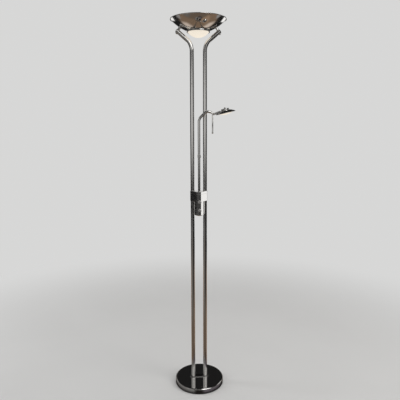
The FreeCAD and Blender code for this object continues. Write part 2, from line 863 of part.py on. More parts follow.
def clamp_screws():
    screws = []
    for x in (-clamp_screw_offset, clamp_screw_offset):
        start = Vector(x, housing_lobe_radius - clamp_screw_length, clamp_screw_z())
        shank = rod(clamp_screw_radius, start, BACK, clamp_screw_length)
        mid = dome_mid(clamp_screw_head_radius, clamp_screw_head_height)
        head = turned((0, 0), (clamp_screw_head_radius, 0), (mid, (0, clamp_screw_head_height)))
        screws.append(joined([laid(head, Vector(x, housing_lobe_radius, clamp_screw_z()), BACK), shank]))
    return screws


# Dimmers

def dimmer_board():
    low = barrel_bottom_z + housing_dome_height + housing_spigot + board_gap
    high = clamp_bottom_z - board_gap
    return Part.makeBox(board_width, board_thickness, high - low, Vector(-board_width / 2, board_y, low))


def dimmer_body(z):
    """Dimmer on the board: a round can and a threaded neck that carries the shaft."""
    can = rod(dimmer_body_radius, Vector(0, board_y, z), FRONT, dimmer_body_length)
    neck = rod(dimmer_neck_radius, Vector(0, board_y - dimmer_body_length, z), FRONT, dimmer_neck_length)
    bore = rod(dimmer_shaft_radius + fit_clearance, shaft_start(z), FRONT, 2 * dimmer_neck_length)
    return joined([can, neck]).cut(bore)


def shaft_start(z):
    return Vector(0, board_y - dimmer_shaft_seat, z)


def knob_back_y():
    return housing_face_y - knob_gap


def dimmer_shaft(z):
    end_y = knob_back_y() - knob_socket_depth
    start = shaft_start(z) + FRONT * fit_clearance
    return rod(dimmer_shaft_radius, start, FRONT, start.y - end_y - fit_clearance)


def dimmer_knob(z):
    """Fluted knob with a domed face and a pointer groove."""
    edge = knob_edge_radius
    mid = round_mid(knob_radius, knob_length, edge)
    body = turned((0, 0), (knob_radius, 0), (knob_radius, knob_length - edge),
                  (mid, (knob_radius - edge, knob_length)), (0, knob_length))
    body = body.cut(cylinder(dimmer_shaft_radius + fit_clearance, 0, knob_socket_depth))
    for k in range(knob_flutes):
        turn = 2 * math.pi * (k + 0.5) / knob_flutes
        x = knob_radius * math.cos(turn)
        y = knob_radius * math.sin(turn)
        body = body.cut(cylinder(knob_flute_radius, 0, knob_length, x, y))
    pointer = Part.makeBox(
        knob_radius - knob_pointer_start, knob_pointer_width, knob_pointer_depth,
        Vector(knob_pointer_start, -knob_pointer_width / 2, knob_length - knob_pointer_depth))
    body = body.cut(pointer)
    body.rotate(Vector(), UP, 90)
    return laid(body, Vector(0, knob_back_y(), z), FRONT)


# Stem and swivel

def on_stem(shape):
    shape.translate(Vector(0, housing_front_y, 0))
    return shape


def stem_tube():
    return tube(stem_radius, stem_bore, clamp_bottom_z, stem_top_z, 0, housing_front_y)


def screw_direction():
    turn = math.radians(stop_screw_azimuth)
    return Vector(math.cos(turn), math.sin(turn), 0)


def stop_groove():
    """Part-turn groove whose ends stop the screw at the limits of the swivel."""
    z0 = stem_top_z + stop_groove_z - stop_screw_radius - fit_clearance
    z1 = z0 + 2 * (stop_screw_radius + fit_clearance)
    groove_radius = stem_radius - stop_groove_depth
    screw_half = math.degrees(math.asin(stop_screw_radius / groove_radius))
    first = stop_screw_azimuth + swivel_min - screw_half - stop_slack
    span = swivel_max - swivel_min + 2 * (screw_half + stop_slack)
    outside = stem_radius + stop_groove_depth
    face = section((groove_radius, z0), (outside, z0), (outside, z1), (groove_radius, z1))
    groove = face.revolve(Vector(), UP, span)
    groove.rotate(Vector(), UP, first)
    return groove


def swivel_spigot():
    """Turned plug in the stem's top: a grooved body for the stop screw and a pin for the arm."""
    plug = stem_bore - fit_clearance
    pin_top = spigot_top_z + spigot_pin_length
    body = turned((spigot_bore, stem_top_z - spigot_plug_length), (plug, stem_top_z - spigot_plug_length),
                  (plug, stem_top_z), (stem_radius, stem_top_z), (stem_radius, spigot_top_z),
                  (spigot_pin_radius, spigot_top_z), (spigot_pin_radius, pin_top), (spigot_bore, pin_top))
    return on_stem(body.cut(stop_groove()))


def arm_ferrule():
    """Sleeve on the arm's lower end, drilled for the stop screw."""
    inner = stem_radius + fit_clearance
    low = stem_top_z + seat_clearance
    sleeve = tube(inner + ferrule_wall, inner, low, low + ferrule_height)
    start = Vector(0, 0, stem_top_z + stop_groove_z)
    hole = rod(stop_screw_radius + fit_clearance, start, screw_direction(), 2 * stem_radius)
    return on_stem(sleeve.cut(hole))


def arm_stop_screw():
    centre = Vector(0, housing_front_y, stem_top_z + stop_groove_z)
    along = screw_direction()
    tip = stem_radius - stop_groove_depth + seat_clearance
    seat = stem_radius + fit_clearance + ferrule_wall
    shank = rod(stop_screw_radius, centre + along * tip, along, seat - tip)
    head = rod(stop_screw_head_radius, centre + along * seat, along, stop_screw_head_height)
    return joined([shank, head])


def arm_bush():
    """Bearing in the arm's lower end that turns on the spigot's pin."""
    inner = spigot_pin_radius + fit_clearance
    return on_stem(tube(arm_bore - fit_clearance, inner, arm_tube_z, arm_tube_z + arm_bush_length))


# Reading arm

def reading_arm_path():
    return path_edges(
        Vector(0, housing_front_y, arm_tube_z), 90,
        [(arm_rise_z - arm_tube_z, 0), (arm_first_bend_radius, arm_first_bend_angle),
         (arm_slope_length, 0), (arm_top_bend_radius, arm_top_bend_angle)])


def reading_arm_tube():
    edges, end, heading = reading_arm_path()
    return swept_tube(edges, arm_radius, arm_bore)


def tilt_axis():
    edges, end, heading = reading_arm_path()
    return end + polar(heading, fork_length)


def handle_top():
    """Where the handle's axis meets the fork's axis."""
    edges, end, heading = reading_arm_path()
    pivot = tilt_axis()
    x = pivot.x - handle_inset
    return Vector(x, pivot.y, pivot.z + handle_inset * math.tan(math.radians(-heading)))


def fork_blank(radius):
    edges, end, heading = reading_arm_path()
    return rod(radius, end, polar(heading, 1), fork_length)


def arm_fork():
    """Turned end piece, slotted for the tongue and drilled for the tilt screw and the handle."""
    edges, end, heading = reading_arm_path()
    pivot = tilt_axis()
    plug_start = end - polar(heading, fork_plug_length)
    plug = rod(arm_bore - fork_plug_clearance, plug_start, polar(heading, 1), fork_plug_length)
    collar = rod(arm_radius, end, polar(heading, 1), fork_collar)
    eye = rod(fork_radius, pivot - BACK * fork_radius, BACK, 2 * fork_radius)
    body = joined([fork_blank(fork_radius), plug, collar, eye])
    half_slot = BACK * (fork_slot / 2)
    slot = rod(fork_slot_reach, pivot - half_slot, BACK, fork_slot)
    body = body.cut(slot).cut(fork_relief(pivot))
    body = body.cut(rod(tilt_screw_radius + fit_clearance, pivot - BACK * arm_radius, BACK, 2 * arm_radius))
    return body.cut(handle_thread(handle_thread_radius + fit_clearance))


def fork_relief(pivot):
    """Room in the slot for the head's fin when the head is tilted right up."""
    half = tongue_radius + seat_clearance
    room = Part.makeBox(fork_length, fork_slot, 2 * half, Vector(0, -fork_slot / 2, -half))
    room.rotate(Vector(), BACK, -head_tilt - tilt_up_limit - fin_edge_rise)
    room.translate(pivot)
    return room


def handle_thread(radius):
    """Stub that runs up the handle's axis into the fork, and ends just below the fork's axis."""
    top = handle_top() - UP * handle_thread_drop
    return rod(radius, top - UP * 2 * fork_radius, UP, 2 * fork_radius)


def handle_rod():
    """Handle under the fork, its top cut to the fork and its thread inside it."""
    top = handle_top()
    shaft = rod(handle_radius, Vector(top.x, top.y, handle_end_z + handle_ball_radius), UP,
                top.z - handle_end_z - handle_ball_radius)
    return joined([shaft.cut(fork_blank(fork_radius)), handle_thread(handle_thread_radius)])


def handle_ball():
    top = handle_top()
    centre = Vector(top.x, top.y, handle_end_z + handle_ball_radius)
    ball = Part.makeSphere(handle_ball_radius, centre)
    return ball.cut(rod(handle_radius + fit_clearance, centre, UP, 2 * handle_ball_radius))


def tilt_screw():
    """Round-headed screw on the tilt axis, its head on the fork's front cheek."""
    pivot = tilt_axis()
    mid = dome_mid(tilt_knob_radius, tilt_knob_height)
    head = turned((0, 0), (tilt_knob_radius, 0), (mid, (0, tilt_knob_height)))
    shank = rod(tilt_screw_radius, pivot + FRONT * fork_radius, BACK, 2 * fork_radius + tilt_nut_height)
    return joined([laid(head, pivot + FRONT * fork_radius, FRONT), shank])


def tilt_nut():
    pivot = tilt_axis()
    nut = hexagon(tilt_nut_across_flats, 0, tilt_nut_height)
    nut = nut.cut(cylinder(tilt_screw_radius + fit_clearance, 0, tilt_nut_height))
    return laid(nut, pivot + BACK * fork_radius, BACK)


# Reading head, drawn about its own axis with the rim at zero, then set in place

def on_head(shape):
    moved = shape.copy()
    moved.rotate(Vector(), BACK, -head_tilt)
    moved.translate(Vector(head_centre_x, housing_front_y, head_centre_z))
    return moved


def head_local(point):
    """A point of the lamp in the head's own frame."""
    local = point - Vector(head_centre_x, housing_front_y, head_centre_z)
    return Rotation(BACK, head_tilt).multVec(local)


def cone_mid(offset):
    """Middle of the shade's side, bowed outwards, moved inwards by the offset."""
    run = Vector(shade_roof_radius - shade_radius, 0, shade_height - shade_rim)
    outwards = Vector(run.z, 0, -run.x).normalize()
    middle = Vector((shade_radius + shade_roof_radius) / 2, 0, (shade_height + shade_rim) / 2)
    middle += outwards * (shade_bow - offset)
    return (middle.x, middle.z)


def reading_shade():
    wall = shade_wall
    hole = finial_screw_radius + fit_clearance
    inner_roof = shade_height - wall
    inner_rim = (shade_radius - wall, shade_rim - wall / 2)
    shell = turned(
        (hole, inner_roof), (shade_roof_radius, inner_roof), (cone_mid(wall), inner_rim),
        (shade_radius - wall, -shade_rim), (shade_radius, -shade_rim), (shade_radius, shade_rim),
        (cone_mid(0), (shade_roof_radius, shade_height)), (hole, shade_height))
    for x in fin_screw_places():
        shell = shell.cut(cylinder(fin_screw_radius + fit_clearance, 0, shade_height, -x))
    return on_head(shell)


def shade_filled():
    return turned((0, -shade_rim), (shade_radius, -shade_rim), (shade_radius, shade_rim),
                  (cone_mid(0), (shade_roof_radius, shade_height)), (0, shade_height))


def fin_screw_places():
    return [fin_foot + offset for offset in fin_screw_offsets]


def head_bracket():
    """Tongue in the fork and the fin that carries the shade, shaped to the shade's back."""
    pivot = head_local(tilt_axis())
    reach = pivot.x
    low = pivot.z - tongue_radius
    top = pivot.z + tongue_radius
    crest = shade_height + fin_height - fin_nose / 2
    outline = section(
        (reach, low), (-shade_radius, low), (-fin_foot, 0), (-fin_foot, crest - fin_nose / 2),
        (-fin_foot - fin_nose, crest), (reach, top), ((reach - tongue_radius, pivot.z), (reach, low)))
    outline.translate(Vector(0, -tongue_thickness / 2, 0))
    fin = outline.extrude(Vector(0, tongue_thickness, 0)).cut(shade_filled())
    fin = max(fin.Solids, key=lambda solid: solid.Volume)
    start = Vector(reach, -tongue_thickness, pivot.z)
    fin = fin.cut(rod(tilt_screw_radius + fit_clearance, start, BACK, 2 * tongue_thickness))
    for x in fin_screw_places():
        fin = fin.cut(cylinder(fin_screw_radius + fit_clearance, 0, fin_screw_top(x), -x))
    return on_head(fin)


def fin_screw_top(x):
    """Height where the fin's screw hole ends, above the shade's back there."""
    run = (x - shade_roof_radius) / (shade_radius - shade_roof_radius)
    return shade_height - run * (shade_height - shade_rim) + shade_bow + fin_screw_depth


def bracket_screws():
    """Screws from inside the shade up into the fin."""
    screws = []
    for x in fin_screw_places():
        top = fin_screw_top(x) - seat_clearance
        inside = fin_screw_top(x) - fin_screw_depth - fin_screw_inside
        shank = cylinder(fin_screw_radius, inside, top, -x)
        head = cylinder(fin_screw_head_radius, inside - fin_screw_head_height, inside, -x)
        screws.append(on_head(joined([shank, head])))
    return screws


def shade_cap():
    """Round cover on the shade's back, over the lamp's wiring."""
    wall = shade_cap_wall
    edge = shade_cap_edge
    top = finial_base
    hole = finial_screw_radius + fit_clearance
    side = shade_roof_radius
    mid = round_mid(side, top, edge)
    return on_head(turned(
        (side - wall, shade_height), (side, shade_height), (side, top - edge), (mid, (side - edge, top)),
        (hole, top), (hole, top - wall), (side - edge, top - wall), (side - wall, top - edge)))


def shade_finial():
    """Turned nut on the cap with a screw through to the lamp's strap."""
    low = finial_base
    mid = dome_mid(finial_radius, finial_height - finial_side, low + finial_side)
    body = turned((0, low - finial_screw_length), (finial_screw_radius, low - finial_screw_length),
                  (finial_screw_radius, low), (finial_radius, low), (finial_radius, low + finial_side),
                  (mid, (0, low + finial_height)))
    return on_head(body)


def capsule_pins(radius):
    pins = []
    for y in (-capsule_pin_spacing / 2, capsule_pin_spacing / 2):
        start = Vector(holder_face_x - capsule_radius, y, capsule_height)
        pins.append(rod(radius, start, RIGHT, capsule_radius + capsule_pin_length))
    return pins


def reading_lampholder():
    """Ceramic block inside the shade with holes for the lamp's pins, and a strap to the finial."""
    half = holder_strap_width / 2
    roof = shade_height - shade_wall
    block = Part.makeBox(holder_length_x, holder_width_y, holder_top_z - holder_base_z,
                         Vector(holder_face_x, -holder_width_y / 2, holder_base_z))
    foot = Vector(holder_face_x, -half, holder_top_z)
    post = Part.makeBox(shade_wall, 2 * half, roof - holder_top_z, foot)
    strap_length = holder_face_x + shade_wall + half
    strap = Part.makeBox(strap_length, 2 * half, shade_wall, Vector(-half, -half, roof - shade_wall))
    body = joined([block, post, strap])
    for pin in capsule_pins(capsule_pin_radius + fit_clearance):
        body = body.cut(pin)
    return on_head(body.cut(cylinder(finial_screw_radius + fit_clearance, 0, shade_height)))


def reading_lamp():
    """Capsule lamp lying across the shade, with a rounded end and two pins."""
    side = capsule_length - capsule_radius
    body = turned((0, 0), (capsule_radius, 0), (capsule_radius, side),
                  (dome_mid(capsule_radius, capsule_radius, side), (0, capsule_length)))
    body = laid(body, Vector(holder_face_x, 0, capsule_height), RIGHT * -1)
    return on_head(joined([body] + capsule_pins(capsule_pin_radius)))


def glass_ring():
    """Flat ring that closes the shade round the glass."""
    outer = shade_radius - shade_wall - fit_clearance
    return on_head(tube(outer, glass_radius + seat_clearance, glass_ring_low, glass_seat))


def reading_glass():
    """Domed frosted glass, its flange on the ring."""
    flange = glass_radius + glass_flange
    low = glass_ring_low
    top = glass_seat + glass_wall
    inner = glass_radius - glass_wall
    depth = glass_depth - glass_wall
    outer_mid = bowl_mid(glass_radius, glass_depth, low - glass_depth)
    inner_mid = bowl_mid(inner, depth, low - depth)
    return on_head(turned(
        (0, low - glass_depth), (outer_mid, (glass_radius, low)), (glass_radius, glass_seat),
        (flange, glass_seat), (flange, top), (inner, top), (inner, low), (inner_mid, (0, low - depth))))


def all_nodes():
    nodes = {
        "base_pad": base_pad(),
        "base_weight": base_weight(),
        "base_cover": base_cover(),
        "cord_bush": cord_bush(),
        "foot_plate": foot_plate(),
        "pole_end_bushes": pole_end_bushes(),
        "joint_nipples": joint_nipples(),
        "bowl": bowl(),
        "dish_ring": dish_ring(),
        "glass_dish": glass_dish(),
        "lamp_bracket": lamp_bracket(),
        "uplight_lamp": uplight_lamp(),
        "control_housing": control_housing(),
        "housing_top_cap": housing_top_cap(),
        "housing_end_cap": housing_end_cap(),
        "pole_clamp": pole_clamp(),
        "clamp_screws": clamp_screws(),
        "dimmer_board": dimmer_board(),
        "stem_tube": stem_tube(),
        "swivel_spigot": swivel_spigot(),
        "arm_ferrule": arm_ferrule(),
        "arm_stop_screw": arm_stop_screw(),
        "arm_bush": arm_bush(),
        "reading_arm_tube": reading_arm_tube(),
        "arm_fork": arm_fork(),
        "handle_rod": handle_rod(),
        "handle_ball": handle_ball(),
        "tilt_screw": tilt_screw(),
        "tilt_nut": tilt_nut(),
        "head_bracket": head_bracket(),
        "bracket_screws": bracket_screws(),
        "reading_shade": reading_shade(),
        "shade_cap": shade_cap(),
        "shade_finial": shade_finial(),
        "reading_lampholder": reading_lampholder(),
        "reading_lamp": reading_lamp(),
        "glass_ring": glass_ring(),
        "reading_glass": reading_glass(),
    }
    nodes.update(base_fasteners())
    for side, word in zip(POLE_SIDES, ("left", "right")):
        nodes["lower_pole_" + word] = pole_section(side, foot_top_z, mid_joint_z)
        nodes["middle_pole_" + word] = pole_section(side, mid_joint_z, top_joint_z)
        nodes["upper_arm_" + word] = upper_arm(side)
    pairs = {"arm_end_caps": arm_end_cap, "bowl_spacers": bowl_spacer, "bowl_bolts": bowl_bolt,
             "cap_nuts": cap_nut, "uplight_holders": uplight_holder}
    for name, make in pairs.items():
        nodes[name] = [make(side) for side in POLE_SIDES]
    nodes["dimmer_bodies"] = [dimmer_body(z) for z in (upper_knob_z, lower_knob_z)]
    for word, z in (("upper", upper_knob_z), ("lower", lower_knob_z)):
        nodes[word + "_dimmer_shaft"] = dimmer_shaft(z)
        nodes[word + "_dimmer_knob"] = dimmer_knob(z)
    return nodes


def main():
    os.makedirs("parts", exist_ok=True)
    for name, made in all_nodes().items():
        shape = Part.makeCompound(made) if isinstance(made, list) else made
        if len(shape.Solids) == 1:
            shape = shape.Solids[0]
        shape.exportStep("parts/" + name + ".step")


main()
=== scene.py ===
"""Chrome floor lamp with an uplight bowl and a reading light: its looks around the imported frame.

Lengths are in metres, +Z is up and -Y is the front. Every new piece is a surface of two
parameters, worked out over whole grids of points, and every finish is a tree of texture nodes.
"""

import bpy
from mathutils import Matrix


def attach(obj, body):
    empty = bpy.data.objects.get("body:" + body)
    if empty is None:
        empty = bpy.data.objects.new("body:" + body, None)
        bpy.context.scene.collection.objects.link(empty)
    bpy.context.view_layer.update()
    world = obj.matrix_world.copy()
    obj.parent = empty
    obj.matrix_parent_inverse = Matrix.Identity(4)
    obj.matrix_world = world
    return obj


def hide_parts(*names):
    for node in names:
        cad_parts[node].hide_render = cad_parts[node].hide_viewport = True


bl_info = {
    "name": "Chrome floor lamp",
    "version": (1, 0, 0),
    "blender": (4, 5, 0),
    "location": "View3D > Sidebar > Floor lamp",
    "description": "Polished pieces, lit glass and studio of a twin-pole floor lamp",
    "category": "Add Mesh",
}

import math
from functools import partial

import bpy
import numpy as np
from bpy.props import FloatProperty, FloatVectorProperty, IntProperty, PointerProperty
from mathutils import Matrix, Vector

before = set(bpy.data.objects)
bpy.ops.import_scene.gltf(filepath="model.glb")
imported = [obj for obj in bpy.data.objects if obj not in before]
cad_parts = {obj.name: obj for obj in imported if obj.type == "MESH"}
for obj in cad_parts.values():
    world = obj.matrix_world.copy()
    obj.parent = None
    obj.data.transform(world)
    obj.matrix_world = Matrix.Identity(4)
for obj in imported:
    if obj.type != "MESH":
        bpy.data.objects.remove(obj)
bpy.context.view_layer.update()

RIGHT, LEFT = 1, -1
BOTH_SIDES = (("left", LEFT), ("right", RIGHT))


# Sizes and colours that a user would change

def length(name, default, description):
    """Length in metres."""
    return FloatProperty(name=name, description=description, default=default, unit="LENGTH",
                         subtype="DISTANCE", precision=5)


def angle(name, degrees, description):
    """Angle, written in degrees."""
    return FloatProperty(name=name, description=description, default=math.radians(degrees),
                         unit="ROTATION", subtype="ANGLE")


def colour(name, default, description):
    """Linear colour."""
    return FloatVectorProperty(name=name, description=description, default=default, size=3,
                               subtype="COLOR", min=0.0, max=1.0)


def count(name, default, description):
    """Whole number."""
    return IntProperty(name=name, description=description, default=default, min=1)


class BaseSizes(bpy.types.PropertyGroup):
    radius: length("Radius", 0.1225, "Outside of the round cover")
    height: length("Height", 0.028, "Flat top above the floor")
    wall: length("Wall", 0.0012, "Sheet of the cover")
    lift: length("Lift", 0.0015, "Lower edge of the cover above the floor")
    edge: length("Edge", 0.005, "Rounding between top and side")
    plate_length: length("Foot plate length", 0.094, "Plate with round ends under the poles")
    plate_width: length("Foot plate width", 0.026, "Across the plate")
    plate_height: length("Foot plate height", 0.003, "Thickness of the plate")
    plate_edge: length("Foot plate edge", 0.0008, "Rounding of its upper edge")
    bush_z: length("Cord bush height", 0.0085, "Axis of the bush in the rear wall")
    bush_radius: length("Cord bush radius", 0.0045, "Part of the bush in the wall")


class PoleSizes(bpy.types.PropertyGroup):
    spacing: length("Spacing", 0.061, "Between the two poles' axes")
    radius: length("Radius", 0.0095, "Outside of the tube")
    bore: length("Bore", 0.0083, "Inside of the tube")
    edge: length("Joint edge", 0.0006, "Rounding at a tube's end, which shows as a fine groove")
    mid_joint_z: length("Middle joint", 0.983, "Joint inside the control housing")
    top_joint_z: length("Top joint", 1.511, "Joint under the curved arms")
    bend_z: length("Bend height", 1.660, "Where the arms start to bend")
    bend_radius: length("Bend radius", 0.065, "Of the tube's axis")
    bend: angle("Bend", 50.0, "Turn outwards from upright")
    end_margin: length("End margin", 0.007, "Tube beyond the bowl bolt")
    cap_height: length("End cap", 0.003, "Dome that closes the arm's end")


class BowlSizes(bpy.types.PropertyGroup):
    rim_radius: length("Rim radius", 0.130, "Outside of the rolled lip")
    top_z: length("Rim height", 1.800, "Top of the lip")
    depth: length("Depth", 0.0515, "From the rim down to the hole")
    hole_radius: length("Hole radius", 0.052, "Round hole for the frosted dish")
    sag: length("Sag", 0.0054, "How far the section's arc bows outwards")
    wall: length("Wall", 0.0012, "Sheet of the bowl")
    lip_radius: length("Lip radius", 0.0018, "Rolled lip")
    stud_radius: length("Bolt circle", 0.084, "Radius at which the arms' bolts pass the bowl")


class DishSizes(bpy.types.PropertyGroup):
    ring_wall: length("Ring wall", 0.0016, "Beyond the bowl's hole")
    ring_depth: length("Ring depth", 0.0065, "Below the bowl's hole")
    ledge: length("Ledge", 0.0022, "Width of the ledge that carries the glass")
    ledge_height: length("Ledge height", 0.0015, "Thickness of the ledge")
    depth: length("Glass depth", 0.025, "Dome below the ledge")
    glass: length("Glass wall", 0.0025, "Thickness of the dish")
    flange: length("Flange height", 0.003, "Edge of the dish on the ledge")
    gap: length("Gap", 0.0003, "Between glass and ring")


class HousingSizes(bpy.types.PropertyGroup):
    lobe_radius: length("Lobe radius", 0.0115, "Round ends about the poles")
    front_radius: length("Front radius", 0.0225, "Round front and barrel")
    front_y: length("Front axis", -0.020, "Axis of the barrel, the stem and the reading arm")
    top_z: length("Top", 1.007, "Upper face of the cap")
    seam_z: length("Cap seam", 0.995, "Joint between cap and housing")
    wing_z: length("Wing bottom", 0.959, "Lower face of the part round the poles")
    barrel_z: length("Barrel bottom", 0.886, "Lowest point of the domed end")
    dome: length("End dome", 0.006, "Height of the domed end")
    edge: length("Edge", 0.001, "Rounding of the cap's upper edge")
    groove: length("Seam groove", 0.00025, "Depth of the seams")
    screw_x: length("Clamp screw offset", 0.014, "Rear screws from the middle")
    screw_z: length("Clamp screw height", 0.978, "Axis of the rear screws")
    screw_radius: length("Clamp screw radius", 0.0035, "Domed head")
    screw_height: length("Clamp screw height", 0.0024, "Dome of the head")


class KnobSizes(bpy.types.PropertyGroup):
    upper_z: length("Upper knob", 0.958, "Axis of the upper knob")
    lower_z: length("Lower knob", 0.917, "Axis of the lower knob")
    radius: length("Radius", 0.008, "Outside of the knob")
    thickness: length("Thickness", 0.011, "From back to face")
    gap: length("Gap", 0.0006, "Between knob and housing")
    edge: length("Edge", 0.0016, "Rounding at the face")
    flutes: count("Flutes", 12, "Grip flutes round the knob")
    flute_depth: length("Flute depth", 0.0009, "Depth of a flute")
    pointer_start: length("Pointer start", 0.0024, "Inner end of the pointer groove")
    pointer_width: length("Pointer width", 0.001, "Width of the pointer groove")
    pointer_depth: length("Pointer depth", 0.0005, "Depth of the pointer groove")


class ArmSizes(bpy.types.PropertyGroup):
    radius: length("Radius", 0.006, "Outside of the stem and the arm's tube")
    wall: length("Wall", 0.001, "Sheet of both tubes")
    stem_top_z: length("Stem top", 1.168, "Where the swivel starts")
    ferrule_z: length("Ferrule bottom", 1.1683, "Lower end of the swivel's sleeve")
    ferrule_height: length("Ferrule height", 0.014, "Length of the sleeve")
    ferrule_wall: length("Ferrule wall", 0.00125, "Sleeve beyond the tube")
    tube_z: length("Tube start", 1.1782, "Lower end of the arm's tube")
    rise_z: length("Rise", 1.3382, "Where the first bend starts")
    first_radius: length("First bend radius", 0.030, "Of the tube's axis")
    first_bend: angle("First bend", 45.0, "Turn from upright")
    slope: length("Slope", 0.024, "Straight tube between the bends")
    top_radius: length("Top bend radius", 0.026, "Of the tube's axis")
    top_bend: angle("Top bend", 75.0, "Turn over the top")
    fork_radius: length("Fork radius", 0.0045, "Turned end piece that carries the tilt screw")
    fork_length: length("Fork length", 0.016, "From the tube's end to the tilt axis")
    handle_radius: length("Handle radius", 0.003, "Rod that the arm is turned by")
    handle_inset: length("Handle inset", 0.0064, "Handle axis from the tilt axis")
    handle_end_z: length("Handle end", 1.281, "Lowest point of the handle's ball")
    ball_radius: length("Ball radius", 0.0045, "Ball on the handle")
    knob_radius: length("Tilt screw radius", 0.0048, "Head of the tilt screw")
    knob_height: length("Tilt screw height", 0.004, "Dome of the tilt screw's head")


class HeadSizes(bpy.types.PropertyGroup):
    centre_x: length("Centre across", 0.1267, "Shade's axis at its rim")
    centre_z: length("Centre height", 1.3785, "Shade's rim on its axis")
    tilt: angle("Tilt", 13.0, "Outer edge up at rest")
    radius: length("Radius", 0.047, "Outside of the shade")
    rim: length("Rim", 0.001, "Half the height of the shade's straight rim")
    height: length("Height", 0.0125, "Flat roof above the rim")
    roof_radius: length("Roof radius", 0.019, "Flat part under the cap")
    wall: length("Wall", 0.001, "Sheet of the shade")
    bow: length("Bow", 0.0014, "How far the shade's side bows outwards")
    cap_height: length("Cap height", 0.008, "Round cover on the roof")
    cap_wall: length("Cap wall", 0.0012, "Sheet of the cover")
    cap_edge: length("Cap edge", 0.003, "Rounding of the cover")
    finial_radius: length("Finial radius", 0.0045, "Turned nut on the cover")
    finial_height: length("Finial height", 0.0055, "Height of the nut")
    glass_radius: length("Glass radius", 0.035, "Domed frosted glass")
    glass_depth: length("Glass depth", 0.007, "Dome below the ring")
    glass_wall: length("Glass wall", 0.0022, "Thickness of the glass")
    glass_flange: length("Glass flange", 0.0035, "Edge of the glass on the ring")
    ring_low: length("Ring underside", -0.0008, "Flat ring below the rim's middle")
    ring_thickness: length("Ring thickness", 0.0012, "Flat ring round the glass")
    gap: length("Gap", 0.0003, "Between glass and ring")


class LampSizes(bpy.types.PropertyGroup):
    linear_z: length("Linear lamp height", 1.773, "Axis of the lamp in the bowl")
    linear_length: length("Linear lamp length", 0.114, "Between its contacts")
    linear_radius: length("Linear lamp radius", 0.005, "Quartz tube")
    coil_radius: length("Coil radius", 0.0011, "Coiled filament")
    coil_wire: length("Coil wire", 0.00025, "Radius of the filament's wire")
    coil_turns: count("Coil turns", 46, "Turns of the linear lamp's filament")


class Finishes(bpy.types.PropertyGroup):
    chrome: colour("Chrome", (0.80, 0.79, 0.775), "Polished plating")
    chrome_haze: colour("Chrome haze", (0.70, 0.68, 0.65), "Plating under a thin film of dust")
    zinc: colour("Zinc", (0.60, 0.61, 0.62), "Bright zinc on fasteners")
    cast_iron: colour("Cast iron", (0.075, 0.07, 0.068), "Rough weight in the base")
    alloy: colour("Cast alloy", (0.55, 0.55, 0.54), "Clamp in the housing")
    rubber: colour("Rubber", (0.03, 0.03, 0.03), "Pad under the base")
    black: colour("Black plastic", (0.025, 0.025, 0.026), "Bushes and dimmers")
    board: colour("Board", (0.33, 0.21, 0.08), "Laminate that carries the dimmers")
    glow: colour("Glow", (1.0, 0.895, 0.745), "Light through the frosted glass")
    frost: colour("Frosted glass", (0.93, 0.92, 0.88), "Etched surface of the glass")
    quartz: colour("Quartz", (0.96, 0.97, 0.98), "Clear lamp tube")
    ceramic: colour("Ceramic", (0.82, 0.79, 0.71), "Unglazed lampholders")
    filament: colour("Filament", (1.0, 0.72, 0.35), "Hot tungsten")


class StudioSizes(bpy.types.PropertyGroup):
    focal: length("Focal length", 0.04009, "Of the camera, on a 36 mm sensor")
    camera_pitch: angle("Camera pitch", 9.63, "Downwards")
    camera_roll: angle("Camera roll", -0.14, "About the line of sight")
    camera_turn: angle("Camera turn", -5.5, "About the lamp")
    camera_x: length("Camera across", 0.0059, "Before the turn about the lamp")
    camera_distance: length("Camera distance", 2.146, "Before the turn about the lamp")
    camera_z: length("Camera height", 1.325, "Above the floor")
    floor: colour("Floor", (0.71, 0.705, 0.697), "Pale floor")
    backdrop: colour("Backdrop", (0.68, 0.68, 0.675), "Pale background")
    near_floor: colour("Floor by the base", (0.19, 0.187, 0.182), "Shaded, at the base's left")
    near_right: colour("Floor right of the base", (0.15, 0.134, 0.15), "Shaded, at its right")
    front_floor: colour("Front floor", (0.12, 0.092, 0.07), "Floor in front, seen in the metal")
    side_patch: colour("Side patches", (0.28, 0.27, 0.265), "Paler floor far to both sides")
    grey_floor: colour("Grey floor", (0.14, 0.127, 0.115), "Front left, mirrored by the poles")
    mat: colour("Mat", (0.22, 0.15, 0.1), "Warm floor that the bowl mirrors")
    mat_edge: colour("Mat's edge", (0.62, 0.52, 0.44), "Paler patches of that floor")
    flag: colour("Flags", (0.014, 0.012, 0.011), "Dark floor beyond the mat")


GROUPS = (BaseSizes, PoleSizes, BowlSizes, DishSizes, HousingSizes, KnobSizes, ArmSizes,
          HeadSizes, LampSizes, Finishes, StudioSizes)


class FloorLamp(bpy.types.PropertyGroup):
    base: PointerProperty(type=BaseSizes, name="Base")
    poles: PointerProperty(type=PoleSizes, name="Poles")
    bowl: PointerProperty(type=BowlSizes, name="Bowl")
    dish: PointerProperty(type=DishSizes, name="Dish")
    housing: PointerProperty(type=HousingSizes, name="Control housing")
    knobs: PointerProperty(type=KnobSizes, name="Knobs")
    arm: PointerProperty(type=ArmSizes, name="Reading arm")
    head: PointerProperty(type=HeadSizes, name="Reading head")
    lamps: PointerProperty(type=LampSizes, name="Lamps")
    finishes: PointerProperty(type=Finishes, name="Finishes")
    studio: PointerProperty(type=StudioSizes, name="Studio")


# Outlines, as arrays of (across, up) or (radius, height) points

SUPPORT = 0.0005                # a row this near a bend keeps the long run beside it flat
FINE = math.radians(2.0)        # step along the curves that show most
COARSE = math.radians(6.0)
CRISP, EASED, SOFT = 0.0002, 0.0003, 0.0004     # roundings of small corners


def unit(vector):
    """The vector, or each of a row of them, divided by its length."""
    vector = np.asarray(vector, float)
    return vector / np.linalg.norm(vector, axis=-1, keepdims=True)


